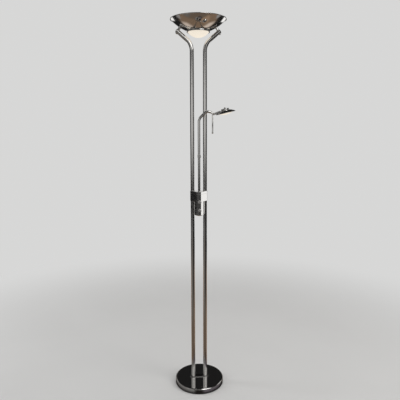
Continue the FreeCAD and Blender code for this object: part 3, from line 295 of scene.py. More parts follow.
def arc(centre, radius, start, turn, step=COARSE):
    """Centre plus radius times (cos a, sin a), for angles a from start through the turn."""
    angles = start + turn * np.linspace(0, 1, max(3, int(abs(turn) / step) + 2))
    return np.asarray(centre) + radius * np.stack((np.cos(angles), np.sin(angles)), -1)


def crown(reach, height, base=0.0, steps=16):
    """Round top from its edge to the axis: radius R sin a, height base + h - R (1 - cos a)."""
    radius = (reach ** 2 + height ** 2) / (2 * height)
    angles = np.linspace(2 * math.atan2(height, reach), 0, steps)
    return np.stack((radius * np.sin(angles), base + height - radius * (1 - np.cos(angles))), -1)


def hollow(reach, depth, floor=0.0, steps=24):
    """Round bottom from the axis up to its edge: a crown turned over."""
    points = crown(reach, depth, steps=steps)[::-1]
    return np.stack((points[:, 0], floor + depth - points[:, 1]), -1)


def bow_circle(start, end, sag):
    """Circle of the arc from start to end that bows by the sag to the right of its travel: its
    radius is the chord squared over eight sags, plus half the sag. Gives the centre, the
    radius, the direction to the right and the chord."""
    start, end = np.asarray(start, float), np.asarray(end, float)
    chord = end - start
    span = np.linalg.norm(chord)
    radius = span ** 2 / (8 * sag) + sag / 2
    right = np.array((chord[1], -chord[0])) / span
    return (start + end) / 2 + right * (sag - radius), radius, right, span


def bowed(start, end, sag, steps=32):
    """Arc from start to end on its bow circle, half its turn to either side of the middle."""
    centre, radius, right, span = bow_circle(start, end, sag)
    half = math.asin(span / (2 * radius))
    middle = math.atan2(right[1], right[0])
    return arc(centre, radius, middle - half, 2 * half, 2 * half / steps)


def rounded(corners, closed=False, steps=7):
    """Line through (across, up, fillet) corners: each fillet is the arc that touches both of its
    runs, with a support row on either side of it."""
    spots = np.array([corner[:2] for corner in corners], float)
    points = []
    for number, corner in enumerate(corners):
        here = spots[number]
        inner = closed or 0 < number < len(corners) - 1
        if len(corner) < 3 or not inner:
            points.append(here[None])
            continue
        back, ahead = spots[number - 1] - here, spots[(number + 1) % len(spots)] - here
        before, after = np.linalg.norm(back), np.linalg.norm(ahead)
        back, ahead = back / before, ahead / after
        half = math.acos(np.clip(back @ ahead, -1, 1)) / 2
        reach = corner[2] / math.tan(half)
        centre = here + unit(back + ahead) * corner[2] / math.sin(half)
        first = here + back * reach
        start = math.atan2(*(first - centre)[::-1])
        turn = math.copysign(math.pi - 2 * half, ahead[0] * back[1] - ahead[1] * back[0])
        angles = start + turn * np.linspace(0, 1, steps)
        bend = centre + corner[2] * np.stack((np.cos(angles), np.sin(angles)), -1)
        if before > reach + 4 * SUPPORT:
            points.append((first + back * SUPPORT)[None])
        points.append(bend)
        if after > reach + 4 * SUPPORT:
            points.append((bend[-1] + ahead * SUPPORT)[None])
    return line(*points)


def line(*parts):
    """Points of all parts in a row, without repeated neighbours."""
    points = np.concatenate([np.atleast_2d(np.asarray(part, float)) for part in parts])
    keep = np.ones(len(points), bool)
    keep[1:] = np.abs(np.diff(points, axis=0)).max(axis=1) > 1e-7
    return points[keep]


def slab(low, high, low_edge, high_edge, lid=0.002):
    """Side of a flat piece as (inset, height) rows, rounded at both edges. Its lids start where
    the rows end, a little inside the edges."""
    return rounded([(0.002, low), (0.0, low, low_edge), (0.0, high, high_edge), (lid, high)])


def smooth(start, stop, value):
    """Smooth step: 3 t squared less 2 t cubed, with t the share of the way from start to stop."""
    share = np.clip((value - start) / (stop - start), 0, 1)
    return share * share * (3 - 2 * share)


# Surfaces, as grids of points

def ringed(outline, columns=96):
    """Ring about the z axis: (r cos a, r sin a, h) for every (r, h) of the outline and angle a.
    The columns are a number of even steps, or the angles themselves."""
    angles = np.linspace(0, 2 * np.pi, columns, endpoint=False) if np.isscalar(columns) else columns
    radius, height = outline[:, :1], outline[:, 1:]
    return np.stack((radius * np.cos(angles), radius * np.sin(angles), height + 0 * angles), -1)


def prism(plan, outline):
    """Stack of plans: for every (inset, height) of the outline, the plan at that inset."""
    layers = [plan(inset) for inset in outline[:, 0]]
    heights = np.repeat(outline[:, 1], len(layers[0])).reshape(len(layers), -1, 1)
    return np.concatenate((np.array(layers), heights), axis=-1)


def laid(points, origin, up=(0, 0, 1)):
    """The z axis of the points turned along up, and their origin moved."""
    up = unit(up)
    side = unit(np.cross(up, (1, 0, 0)) if abs(up[1]) > 0.9 else np.cross((0, 1, 0), up))
    return np.asarray(origin) + points @ np.stack((side, np.cross(up, side), up))


def route(start, heading, moves):
    """Runs of a flat path, each with its start, heading, length and bend. A move is a straight
    length, or an arc's radius and turn."""
    runs = []
    spot = np.asarray(start, float)
    for size, turn in moves:
        span = size * abs(turn) if turn else size
        bend = turn / span
        runs.append((spot, heading, span, bend))
        spot = spot + travelled(heading, span, bend)
        heading += turn
    return runs, spot, heading


def travelled(heading, distance, bend):
    """Chord of an arc: the distance times sin h / h along the heading plus h, h half its turn."""
    half = np.asarray(bend * distance / 2)
    chord = distance * np.sinc(half / np.pi)
    return np.stack((chord * np.cos(heading + half), chord * np.sin(heading + half)), -1)


def tubed(runs, radius, start, end, y=0.0, columns=64):
    """Ring surface along a flat upright path, with (radius, advance) rows for its two ends."""
    places, headings, radii = [], [], []

    def station(spot, heading, distance, bend, size):
        """Rows at the distances from the spot, along a run of that heading and bend."""
        places.append(spot + travelled(heading, distance, bend))
        headings.append(heading + bend * distance)
        radii.append(size + 0 * distance)

    first, last = runs[0], runs[-1]
    station(first[0], first[1], start[:, 1], 0.0, start[:, 0])
    for spot, heading, span, bend in runs:
        steps = int(abs(bend) * span / FINE) + 2
        ends = np.array((2 * SUPPORT, span - 2 * SUPPORT))
        station(spot, heading, np.linspace(0, span, steps) if bend else ends, bend, radius)
    finish = last[0] + travelled(last[1], last[2], last[3])
    station(finish, last[1] + last[2] * last[3], end[:, 1], 0.0, end[:, 0])
    places, headings = np.concatenate(places), np.concatenate(headings)[:, None]
    radii = np.concatenate(radii)[:, None]
    angles = np.linspace(0, 2 * np.pi, columns, endpoint=False)
    across = radii * np.cos(angles)
    return np.stack((places[:, :1] + across * np.sin(headings), y + radii * np.sin(angles),
                     places[:, 1:] - across * np.cos(headings)), -1)


SHARP_FROM = math.radians(32)   # edges that turn by more stay sharp in the shading


def linked(name, data):
    """New object in the scene that shows a mesh, a light or a camera."""
    made = bpy.data.objects.new(name, data)
    bpy.context.scene.collection.objects.link(made)
    return made


class Skin:
    """Surfaces of one piece, gathered until they become its mesh."""

    def __init__(self):
        self.points, self.faces, self.materials = [], [], []
        self.total = 0

    def add(self, points, closed=False, lids=False, finish=0, skip=None):
        """Grid of rows whose columns go round. A row on one spot becomes a single vertex, and
        lids close the first and the last row."""
        rows, columns = points.shape[:2]
        index = np.arange(rows * columns).reshape(rows, columns)
        still = np.ptp(points, axis=1).max(axis=-1) < 1e-9
        index[still] = index[still, :1]
        i = np.arange(rows if closed else rows - 1)[:, None]
        j = np.arange(columns)[None]
        after_i, after_j = (i + 1) % rows, (j + 1) % columns
        quads = np.stack((index[i, j], index[i, after_j], index[after_i, after_j],
                          index[after_i, j]), -1)
        quads = quads.reshape(-1, 4) if skip is None else quads[~skip]
        used = np.unique(quads)
        place = np.zeros(rows * columns, int)
        place[used] = np.arange(len(used)) + self.total
        quads, index = place[quads], place[index]
        low, high = quads[:, 0] == quads[:, 1], quads[:, 2] == quads[:, 3]
        whole, after_low, before_high = quads[~(low | high)], quads[low][:, 1:], quads[high][:, :3]
        faces = whole.tolist() + after_low.tolist() + before_high.tolist()
        if lids:
            faces += [index[0, ::-1].tolist(), index[-1].tolist()]
        self.points.append(points.reshape(-1, 3)[used])
        self.faces += faces
        self.materials += [finish] * len(faces)
        self.total += len(used)
        return self

    def shown(self, name):
        """Object of the gathered surfaces, with its mesh, in the scene."""
        mesh = bpy.data.meshes.new(name)
        mesh.from_pydata(np.concatenate(self.points).tolist(), [], self.faces)
        mesh.polygons.foreach_set("material_index", self.materials)
        return linked(name, mesh), mesh

    def piece(self, name, body, nodes, finishes=("chrome",), slot="chrome"):
        """Finished object that rides on a body in place of the CAD nodes."""
        made, mesh = self.shown(name)
        mesh.shade_smooth()
        mesh.set_sharp_from_angle(angle=SHARP_FROM)
        mesh.update()
        for finish in finishes:
            mesh.materials.append(material(finish))
        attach(made, body)
        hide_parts(*nodes)
        return made


# Base

PATCH_REACH = 1.45              # half the side of the hole's patch, over the bush's radius
PATCH_STEPS, COVER_STEPS = 24, 299      # columns across the patch, and round the rest


def base_cover(base):
    """Spun cover: a straight side, a rounded edge and a flat top, turned about the z axis, with
    a round hole behind for the cord bush. The hole's patch is a chart of (across, up) rows that
    go straight from the ring's own vertices to a circle, and is bent round the side."""
    radius, low, inside = base.radius, base.lift, base.radius - base.wall
    back = math.pi / 2
    reach = PATCH_REACH * base.bush_radius
    offsets = np.linspace(-reach, reach, PATCH_STEPS + 1)
    near, patch_rows = back + offsets / radius, base.bush_z + offsets
    far = np.linspace(near[-1], near[0] + 2 * math.pi, COVER_STEPS + 1)[1:-1]
    angles = np.concatenate((near, far))
    edge = rounded([(inside, low), (radius, low, EASED), (radius, base.height, base.edge),
                    (0.0, base.height)], steps=16)
    below = edge[:, 1] < patch_rows[0]
    below[len(edge) // 2:] = False
    side = np.stack((radius + 0 * patch_rows, patch_rows), -1)
    above = edge[int(np.argmax(edge[:, 1] > patch_rows[-1])):]
    outline = line((inside, low + base.bush_radius / 8), edge[below], side, above)
    ring = ringed(outline, angles)
    first = int(np.argmin(np.abs(outline[:, 1] - patch_rows[0]) + np.abs(outline[:, 0] - radius)))
    last = first + len(patch_rows) - 1
    skip = np.zeros((len(outline) - 1, len(angles)), bool)
    skip[first:last, :len(near) - 1] = True
    skin = Skin().add(ring, skip=skip)
    border = np.concatenate((
        np.stack((near, patch_rows[0] + 0 * near), -1),
        np.stack((near[-1] + 0 * patch_rows, patch_rows), -1)[1:],
        np.stack((near[::-1], patch_rows[-1] + 0 * near), -1)[1:],
        np.stack((near[0] + 0 * patch_rows, patch_rows[::-1]), -1)[1:-1]))
    middle = np.array((back, base.bush_z))
    spread = (border - middle) * (radius, 1.0)
    hole = unit(spread) * base.bush_radius
    share = np.linspace(0, 1, 6)[:, None, None]
    chart = np.concatenate((spread + (hole - spread) * share, hole[None]))
    out = np.full((len(chart), 1), radius)
    out[-1] = inside
    turn, height = back + chart[..., 0] / radius, base.bush_z + chart[..., 1]
    return skin.add(np.stack((out * np.cos(turn), out * np.sin(turn), height), -1))


def stadium(length, width):
    """Plan of a plate with round ends, as a function of the inset."""
    def plan(inset):
        radius, half = width / 2 - inset, (length - width) / 2
        return with_supports([arc((side * half, 0), radius, -side * math.pi / 2, math.pi)
                              for side in (RIGHT, LEFT)])
    return plan


def with_supports(arcs):
    """Closed plan through arcs, with a support point at each end of the runs between them."""
    points = []
    for here, after in zip(arcs, arcs[1:] + arcs[:1]):
        step = unit(after[0] - here[-1]) * SUPPORT
        points += [here, (here[-1] + step)[None], (after[0] - step)[None]]
    return np.concatenate(points)


def foot_plate(base):
    """Plate with round ends: its plan, drawn in by the inset of each row of a slab's side."""
    outline = slab(base.height, base.height + base.plate_height, CRISP, base.plate_edge, 0.003)
    return Skin().add(prism(stadium(base.plate_length, base.plate_width), outline), lids=True)


# Poles and curved arms

def tube_end(outer, inner, edge):
    """Rows from the bore to the outside at a tube's lower end, as (radius, height)."""
    return rounded([(inner, 2 * edge), (inner, 0.0, edge / 3), (outer, 0.0, edge),
                    (outer, 2 * edge)])


def flipped(rows, at=0.0):
    """The same rows at a tube's other end, which is at that height."""
    return np.stack((rows[:, 0], at - rows[:, 1]), -1)[::-1]


def pole(base, poles, side):
    """Two tubes, one on the other, with a fine groove at their joint."""
    x = side * poles.spacing / 2
    start = base.height + base.plate_height
    skin = Skin()
    for low, high in ((start, poles.mid_joint_z), (poles.mid_joint_z, poles.top_joint_z)):
        end = tube_end(poles.radius, poles.bore, poles.edge)
        outline = line(np.stack((end[:, 0], low + end[:, 1]), -1), flipped(end, high))
        skin.add(ringed(outline, 64) + (x, 0, 0))
    return skin


def arm_route(poles, bowl, side):
    """Path of a curved arm's axis, up to a little beyond the bowl bolt."""
    last = (bolt_slide(poles, bowl) + poles.end_margin, 0.0)
    return route(*arm_start(poles, side), [*arm_moves(poles, side), last])


def arm_start(poles, side):
    """Foot of a curved arm's axis, and its heading straight up."""
    return (side * poles.spacing / 2, poles.top_joint_z), math.pi / 2


def arm_moves(poles, side):
    """Straight rise and bend outwards of a curved arm's axis."""
    return (poles.bend_z - poles.top_joint_z, 0.0), (poles.bend_radius, -side * poles.bend)


def curved_arm(poles, bowl, side):
    """Tube round the arm's path: up, round the bend and on to the bowl's bolt."""
    runs = arm_route(poles, bowl, side)[0]
    lower = tube_end(poles.radius, poles.bore, poles.edge)
    upper = flipped(tube_end(poles.radius, poles.bore, poles.edge / 2))
    return Skin().add(tubed(runs, poles.radius, lower, upper))


def arm_end_caps(poles, bowl):
    """Domed plug in each curved arm's open end: a short neck in the bore, and a crown."""
    skin = Skin()
    neck = rounded([(poles.bore, -0.002), (poles.bore, 0.0), (poles.radius, 0.0, EASED),
                    (poles.radius, 0.0008)])
    plug = ringed(line(neck[:-1], crown(poles.radius, poles.cap_height)[1:]), 64)
    for side in (LEFT, RIGHT):
        (x, z), heading = arm_route(poles, bowl, side)[1:]
        skin.add(laid(plug, (x, 0, z), (math.cos(heading), 0, math.sin(heading))))
    return skin


# Bowl

def bowl_curve(bowl):
    """Ends, centre and radius of the bowl's outer arc, in its (radius, height) section."""
    low = np.array((bowl.hole_radius, bowl.top_z - bowl.depth))
    high = np.array((bowl.rim_radius - bowl.lip_radius, bowl.top_z - bowl.lip_radius))
    return (low, high, *bow_circle(low, high, bowl.sag)[:2])


def bolt_slide(poles, bowl):
    """How far along the curved arm's last run the bolt crosses it. The bolt stands square on the
    bowl's arc, so it lies on the line from the arc's centre through its foot."""
    centre, radius = bowl_curve(bowl)[2:]
    across = bowl.stud_radius
    foot = np.array((across, centre[1] - math.sqrt(radius ** 2 - (across - centre[0]) ** 2)))
    out = unit(foot - centre)
    bend_end, heading = route(*arm_start(poles, RIGHT), arm_moves(poles, RIGHT))[1:]
    gap = bend_end - foot
    return ((gap[0] * out[1] - gap[1] * out[0])
            / (out[0] * math.sin(heading) - out[1] * math.cos(heading)))


def bowl_shell(bowl):
    """Closed section: up the outer arc, round the rolled lip, down the inner arc."""
    low, high, centre, radius = bowl_curve(bowl)
    lip, inner = bowl.lip_radius, radius - bowl.wall
    inward = math.atan2(*(centre - high)[::-1])

    def meeting(arc_radius):
        """Angle at the lip's centre between the arc's centre and where the arc meets the lip."""
        return math.acos((radius ** 2 + lip ** 2 - arc_radius ** 2) / (2 * radius * lip))

    def side(arc_radius, steps=48):
        """Arc about the bowl's centre, from the hole up to where it meets the lip."""
        turn = inward + meeting(arc_radius)
        spot = high + lip * np.array((math.cos(turn), math.sin(turn)))
        stop = math.atan2(*(spot - centre)[::-1])
        start = math.atan2(*(low - centre)[::-1])
        return arc(centre, arc_radius, start, stop - start, (stop - start) / steps)

    begin = inward + meeting(radius)
    finish = inward + meeting(inner) + 2 * math.pi
    roll = arc(high, lip, begin, finish - begin, math.radians(10))
    return Skin().add(ringed(line(side(radius), roll, side(inner)[::-1]), 256), closed=True)


def dish_ring(bowl, dish):
    """Ring under the bowl's hole, a turned L whose foot is the ledge that carries the glass."""
    hole, seam = bowl.hole_radius, bowl.top_z - bowl.depth
    outer, ledge = hole + dish.ring_wall, hole - dish.ledge
    low, step = seam - dish.ring_depth, seam - dish.ring_depth + dish.ledge_height
    top = seam + 0.0004
    outline = rounded([(ledge, low, CRISP), (outer, low, 0.0006), (outer, top, CRISP),
                       (hole, top, CRISP), (hole, step), (ledge, step, CRISP)],
                      closed=True, steps=5)
    return Skin().add(ringed(outline, 192), closed=True)


def glass_dish(bowl, dish):
    """Frosted dish: a dome below, a flange on the ledge, and the hollow above."""
    ledge = bowl.top_z - bowl.depth - dish.ring_depth + dish.ledge_height
    neck = bowl.hole_radius - dish.ledge - dish.gap
    flange = bowl.hole_radius - dish.gap
    top, bottom = ledge + dish.flange, ledge - dish.depth
    inner = neck - dish.glass
    outside = hollow(neck, dish.depth, bottom, 40)
    inside = hollow(inner, top - bottom - dish.glass, bottom + dish.glass)[::-1]
    rim = rounded([(neck, ledge - 0.001), (neck, ledge), (flange, ledge, EASED),
                   (flange, top, SOFT), (inner, top, EASED), (inner - 0.001, top - 0.001)])
    return Skin().add(ringed(line(outside[:-1], rim[1:-1], inside[1:]), 144))


# Control housing and knobs

def housing_plan(housing, poles):
    """Plan of two lobes round the poles, tangent flanks and a round front, by inset."""
    half, forward = poles.spacing / 2, -housing.front_y
    spread = math.acos((housing.front_radius - housing.lobe_radius) / math.hypot(half, forward))
    normal = math.atan2(forward, half) - spread

    def plan(inset):
        lobe, front = housing.lobe_radius - inset, housing.front_radius - inset
        quarter = math.pi / 2 - normal
        return with_supports([
            arc((half, 0), lobe, normal, quarter, FINE * 2),
            arc((-half, 0), lobe, math.pi / 2, quarter, FINE * 2),
            arc((0, housing.front_y), front, math.pi - normal, math.pi + 2 * normal, FINE)])
    return plan


def housing_block(housing, poles):
    """Wings round the poles, with the round barrel and its domed end below their front."""
    low, wall, groove = housing.wing_z, housing.front_radius, housing.groove
    wings = prism(housing_plan(housing, poles), slab(low, housing.seam_z, groove, groove))
    seam = housing.barrel_z + housing.dome
    dome = hollow(wall, housing.dome, housing.barrel_z, 32)
    edge = rounded([dome[-2], (wall, seam, 2 * groove), (wall, seam + 3 * groove)])
    barrel = line(dome[:-1], edge,
                  (wall - groove, seam + 4 * groove), (wall, seam + 5 * groove),
                  (wall, seam + 5 * groove + SUPPORT), (wall, low - SUPPORT), (wall, low),
                  (wall - 0.002, low + SUPPORT))
    skin = Skin().add(wings, lids=True)
    return skin.add(ringed(barrel, 128) + (0, housing.front_y, 0))


def housing_cap(housing, poles):
    """Lid on the housing: its plan, drawn in by the inset of each row of a slab's side."""
    outline = slab(housing.seam_z, housing.top_z, housing.groove, housing.edge, 0.004)
    return Skin().add(prism(housing_plan(housing, poles), outline), lids=True)


def slotted(head, aim, half_slot, depth, shell):
    """Turned head, its height sunk by the slot's depth where |x ax + y ay| is within the slot's
    half width. The slot fades over two ranges: half_slot across it, and shell up from the
    head's edge."""
    off_line = np.abs(head[..., 0] * aim[0] + head[..., 1] * aim[1])
    head[..., 2] -= depth * smooth(*half_slot[::-1], off_line) * smooth(*shell, head[..., 2])
    return head


def clamp_screws(housing):
    """Two domed heads behind the housing, each with a turned slot."""
    skin = Skin()
    dome = line((housing.screw_radius, -0.0004),
                crown(housing.screw_radius, housing.screw_height, steps=24))
    for side in (RIGHT, LEFT):
        head = slotted(ringed(dome, 180), (side * 0.6, 0.8), (0.0003, 0.00045), 0.0008,
                       (-0.0001, 0.0002))
        place = (side * housing.screw_x, housing.lobe_radius, housing.screw_z)
        skin.add(laid(head, place, (0, 1, 0)))
    return skin


def knob(knobs, housing, z):
    """Fluted knob on the housing's front. At each angle the side keeps to the nearer of the round
    body and the round flutes, and the face sinks along the pointer groove."""
    radius, thick, half = knobs.radius, knobs.thickness, knobs.pointer_width / 2
    face = np.linspace(radius - 0.0035, 0, 24)      # rows across the flat face
    outline = line(rounded([(radius - 0.003, 0.0), (radius, 0.0, SOFT), (radius, thick, knobs.edge),
                            (face[0], thick)], steps=9),
                   np.stack((face, thick + 0 * face), -1))
    angles = np.linspace(0, 2 * np.pi, 480, endpoint=False)
    pitch = 2 * np.pi / knobs.flutes
    off = (angles % pitch) - pitch / 2
    inside = np.maximum(knobs.flute_depth ** 2 - (radius * np.sin(off)) ** 2, 0)
    fluted = radius * np.cos(off) - np.sqrt(inside)
    fluted = np.where(inside > 0, np.minimum(fluted, radius), radius)
    radii = np.minimum(outline[:, :1], fluted)
    x, y = radii * np.cos(angles), radii * np.sin(angles)
    groove = 1 - smooth(half - 0.0001, half + 0.0001, np.abs(y))
    groove = groove * smooth(knobs.pointer_start, knobs.pointer_start + 0.0002, x)
    front = smooth(thick - knobs.edge, thick - knobs.edge / 2, outline[:, 1:])
    height = outline[:, 1:] - knobs.pointer_depth * groove * front
    points = np.stack((x, y, height + 0 * x), -1)
    back = housing.front_y - housing.front_radius - knobs.gap
    return Skin().add(laid(points, (0, back, z), (0, -1, 0)))


# Stem and reading arm

def stem(housing, arm):
    """Tube from the housing up to the swivel."""
    end = tube_end(arm.radius, arm.radius - arm.wall, SOFT)
    outline = line((arm.radius, housing.seam_z - 0.003), flipped(end, arm.stem_top_z))
    return Skin().add(ringed(outline, 64) + (0, housing.front_y, 0))


def ferrule(housing, arm):
    """Turned sleeve over the swivel, with a rounded edge at both ends."""
    inner, outer = arm.radius + 0.00005, arm.radius + arm.ferrule_wall
    low, high = arm.ferrule_z, arm.ferrule_z + arm.ferrule_height
    outline = rounded([(inner, low, CRISP), (outer, low, SOFT), (outer, high, 0.0006),
                       (inner, high, CRISP)], closed=True)
    return Skin().add(ringed(outline, 64) + (0, housing.front_y, 0), closed=True)


def arm_tube(housing, arm):
    """Straight rise, a bend to the right, a short slope and the bend over the top."""
    moves = [(arm.rise_z - arm.tube_z, 0.0), (arm.first_radius, -arm.first_bend), (arm.slope, 0.0),
             (arm.top_radius, -arm.top_bend)]
    runs, end, heading = route((0.0, arm.tube_z), math.pi / 2, moves)
    ends = tube_end(arm.radius, arm.radius - arm.wall, SOFT)
    return Skin().add(tubed(runs, arm.radius, ends, flipped(ends), y=housing.front_y)), end, heading


def tilt_axis(arm, end, heading):
    """Spot the fork's length beyond the tube's end, along its heading."""
    return end + arm.fork_length * np.array((math.cos(heading), math.sin(heading)))


def handle(housing, arm, pivot, heading):
    """Rod under the fork with a ball at its end: an arc up to the rod's radius, then straight."""
    x = pivot[0] - arm.handle_inset
    top = pivot[1] + arm.handle_inset * math.tan(-heading)
    ball, rod = arm.ball_radius, arm.handle_radius
    centre = arm.handle_end_z + ball
    neck = math.asin(rod / ball)
    globe = arc((0.0, centre), ball, -math.pi / 2, math.pi - neck, FINE * 2)
    globe[0, 0] = 0.0
    outline = line(globe, (rod, globe[-1, 1] + SUPPORT), (rod, top - 0.002), (rod - 0.001, top))
    return Skin().add(ringed(outline, 64) + (x, housing.front_y, 0))


def tilt_knob(housing, arm, pivot):
    """Domed head of the tilt screw, slotted, on the fork's front cheek."""
    low, radius = 0.0002, arm.knob_radius
    dome = line((radius - 0.0005, -0.001), (radius, -0.0005),
                crown(radius, arm.knob_height, low, 28))
    head = slotted(ringed(dome, 180), (0.5, 0.87), (0.0004, 0.0006), 0.0009, (low, low + 0.0005))
    cheek = (pivot[0], housing.front_y - arm.fork_radius, pivot[1])
    return Skin().add(laid(head, cheek, (0, -1, 0)))


# Reading head, drawn about its own axis with the shade's rim at zero

def head_skin(outline, head, housing, closed):
    """Ring turned by the head's tilt about the depth axis, and moved to the shade's place."""
    cos, sin = math.cos(head.tilt), math.sin(head.tilt)
    turn = np.array(((cos, 0, sin), (0, 1, 0), (-sin, 0, cos)))
    place = (head.centre_x, housing.front_y, head.centre_z)
    return Skin().add(ringed(outline, 144) @ turn + place, closed=closed)


def shade(head):
    """Thin cone with a straight rim, its side bowed a little outwards, and a flat roof."""
    rim, radius, wall, roof = head.rim, head.radius, head.wall, head.height
    hole = 0.003                            # left open under the cap
    side = bowed((radius, rim), (head.roof_radius, roof), head.bow)
    inside = bowed((radius - wall, rim - wall / 2), (head.roof_radius, roof - wall), head.bow)
    edge = rounded([(radius - wall, 0.0), (radius - wall, -rim, EASED), (radius, -rim, EASED),
                    (radius, rim)])
    top = rounded([side[-2], (head.roof_radius, roof, SOFT), (0.012, roof), (hole, roof)])
    return line(edge, side[1:-1], top[1:], (hole, roof - wall), inside[::-1])


def shade_cap(head):
    """Round cover with a rolled upper edge."""
    side, low = head.roof_radius, head.height
    top = low + head.cap_height
    foot = low + 0.0002
    return line(rounded([(side - head.cap_wall, foot), (side, foot, EASED),
                         (side, top, head.cap_edge), (0.006, top)], steps=12), (0.0, top))


def finial(head):
    """Turned nut: a foot ring, a waist and a domed top."""
    low = head.height + head.cap_height
    radius, height = head.finial_radius, head.finial_height
    waist, side = radius - 0.0005, low + 0.4 * height
    turned = rounded([(radius - 0.001, low - 0.0002), (radius, low - 0.0002),
                      (radius, low + 0.0006, CRISP), (waist, low + 0.0009, CRISP),
                      (waist, side - 0.0006, CRISP), (radius, side - 0.0003, CRISP),
                      (radius, side)])
    return line(turned, crown(radius, height - 0.4 * height, side)[1:])


def glass_ring(head):
    """Flat ring, rounded at its four corners, that fills the rim round the glass."""
    low, high = head.ring_low, head.ring_low + head.ring_thickness
    inner, outer = head.glass_radius + head.gap, head.radius - head.wall - 0.00005
    return rounded([(inner, low, EASED), (outer, low, CRISP), (outer, high, CRISP),
                    (inner, high, EASED)], closed=True)


def reading_glass(head):
    """Domed frosted glass with its flange on the ring."""
    radius, low = head.glass_radius, head.ring_low
    seat = low + head.ring_thickness
    top, inner = seat + head.glass_wall, radius - head.glass_wall
    flange = radius + head.glass_flange
    depth = head.glass_depth - head.glass_wall
    outside = hollow(radius, head.glass_depth, low - head.glass_depth, 32)
    rim = rounded([(radius, low - 0.0005), (radius, seat), (flange, seat, EASED),
                   (flange, top, SOFT), (inner, top, SOFT), (inner, low)])
    return line(outside[:-1], rim[1:], hollow(inner, depth, low - depth)[::-1][1:])


# Linear lamp

def linear_lamp(lamps):
    """Quartz tube pinched at both ends, with ceramic ends, contacts and a coiled filament."""
    half, middle = lamps.linear_length / 2, (0, 0, lamps.linear_z)
    pinched, contact = 0.0034, 0.0026       # radii of a ceramic end and of its contact
    cap = half - 0.00405                    # outer face of the ceramic end
    start = cap - 0.012                     # its inner face
    neck = start - 0.003                    # where the quartz starts to narrow
    glass = bowed((lamps.linear_radius, neck), (pinched, start), 0.0003, 8)
    quartz = line(np.stack((glass[:, 0], -glass[:, 1]), -1)[::-1], glass)
    skin = Skin().add(laid(ringed(quartz, 48), middle, (1, 0, 0)))
    end = line(rounded([(0.003, start), (pinched, start), (pinched, cap, SOFT), (contact, cap)]),
               rounded([(contact, cap), (contact, half, 0.0006), (0.0, half)]))
    for side in (RIGHT, LEFT):
        skin.add(laid(ringed(end, 48), middle, (side, 0, 0)), finish=1)
    return skin.add(coil(lamps), finish=2)


def coil(lamps):
    """Filament: a thin ring carried along a helix about the lamp's axis. At angle a the helix
    is at (s, R cos a, R sin a), with s the share of the span, and the ring stands square to it."""
    turns, per_turn, sides = lamps.coil_turns, 14, 7
    span = 0.64 * lamps.linear_length
    share = np.linspace(0, 1, turns * per_turn)[:, None]
    angle = 2 * np.pi * turns * share
    rate = 2 * np.pi * turns * lamps.coil_radius
    cos, sin = np.cos(angle), np.sin(angle)
    around = np.linspace(0, 2 * np.pi, sides, endpoint=False)[:, None]
    tangent = unit(np.concatenate((span + 0 * angle, -rate * sin, rate * cos), -1))
    outward = np.concatenate((0 * angle, cos, sin), -1)
    aside = np.cross(tangent, outward)
    ring = outward[:, None] * np.cos(around) + aside[:, None] * np.sin(around)
    middle = np.concatenate(((share - 0.5) * span, lamps.coil_radius * cos,
                             lamps.coil_radius * sin), -1)
    return middle[:, None] + lamps.coil_wire * ring + (0, 0, lamps.linear_z)


# Finishes

class Value:
    """Output of a node that plain arithmetic turns into further nodes."""

    def __init__(self, finish, socket):
        self.finish, self.socket = finish, socket

    def __add__(self, other):
        return self.finish.maths("ADD", self, other)

    def __sub__(self, other):
        return self.finish.maths("SUBTRACT", self, other)

    def __rsub__(self, other):
        return self.finish.maths("SUBTRACT", other, self)

    def __mul__(self, other):
        return self.finish.maths("MULTIPLY", self, other)

    def __pow__(self, other):
        return self.finish.maths("POWER", self, other)

    __radd__ = __add__
    __rmul__ = __mul__


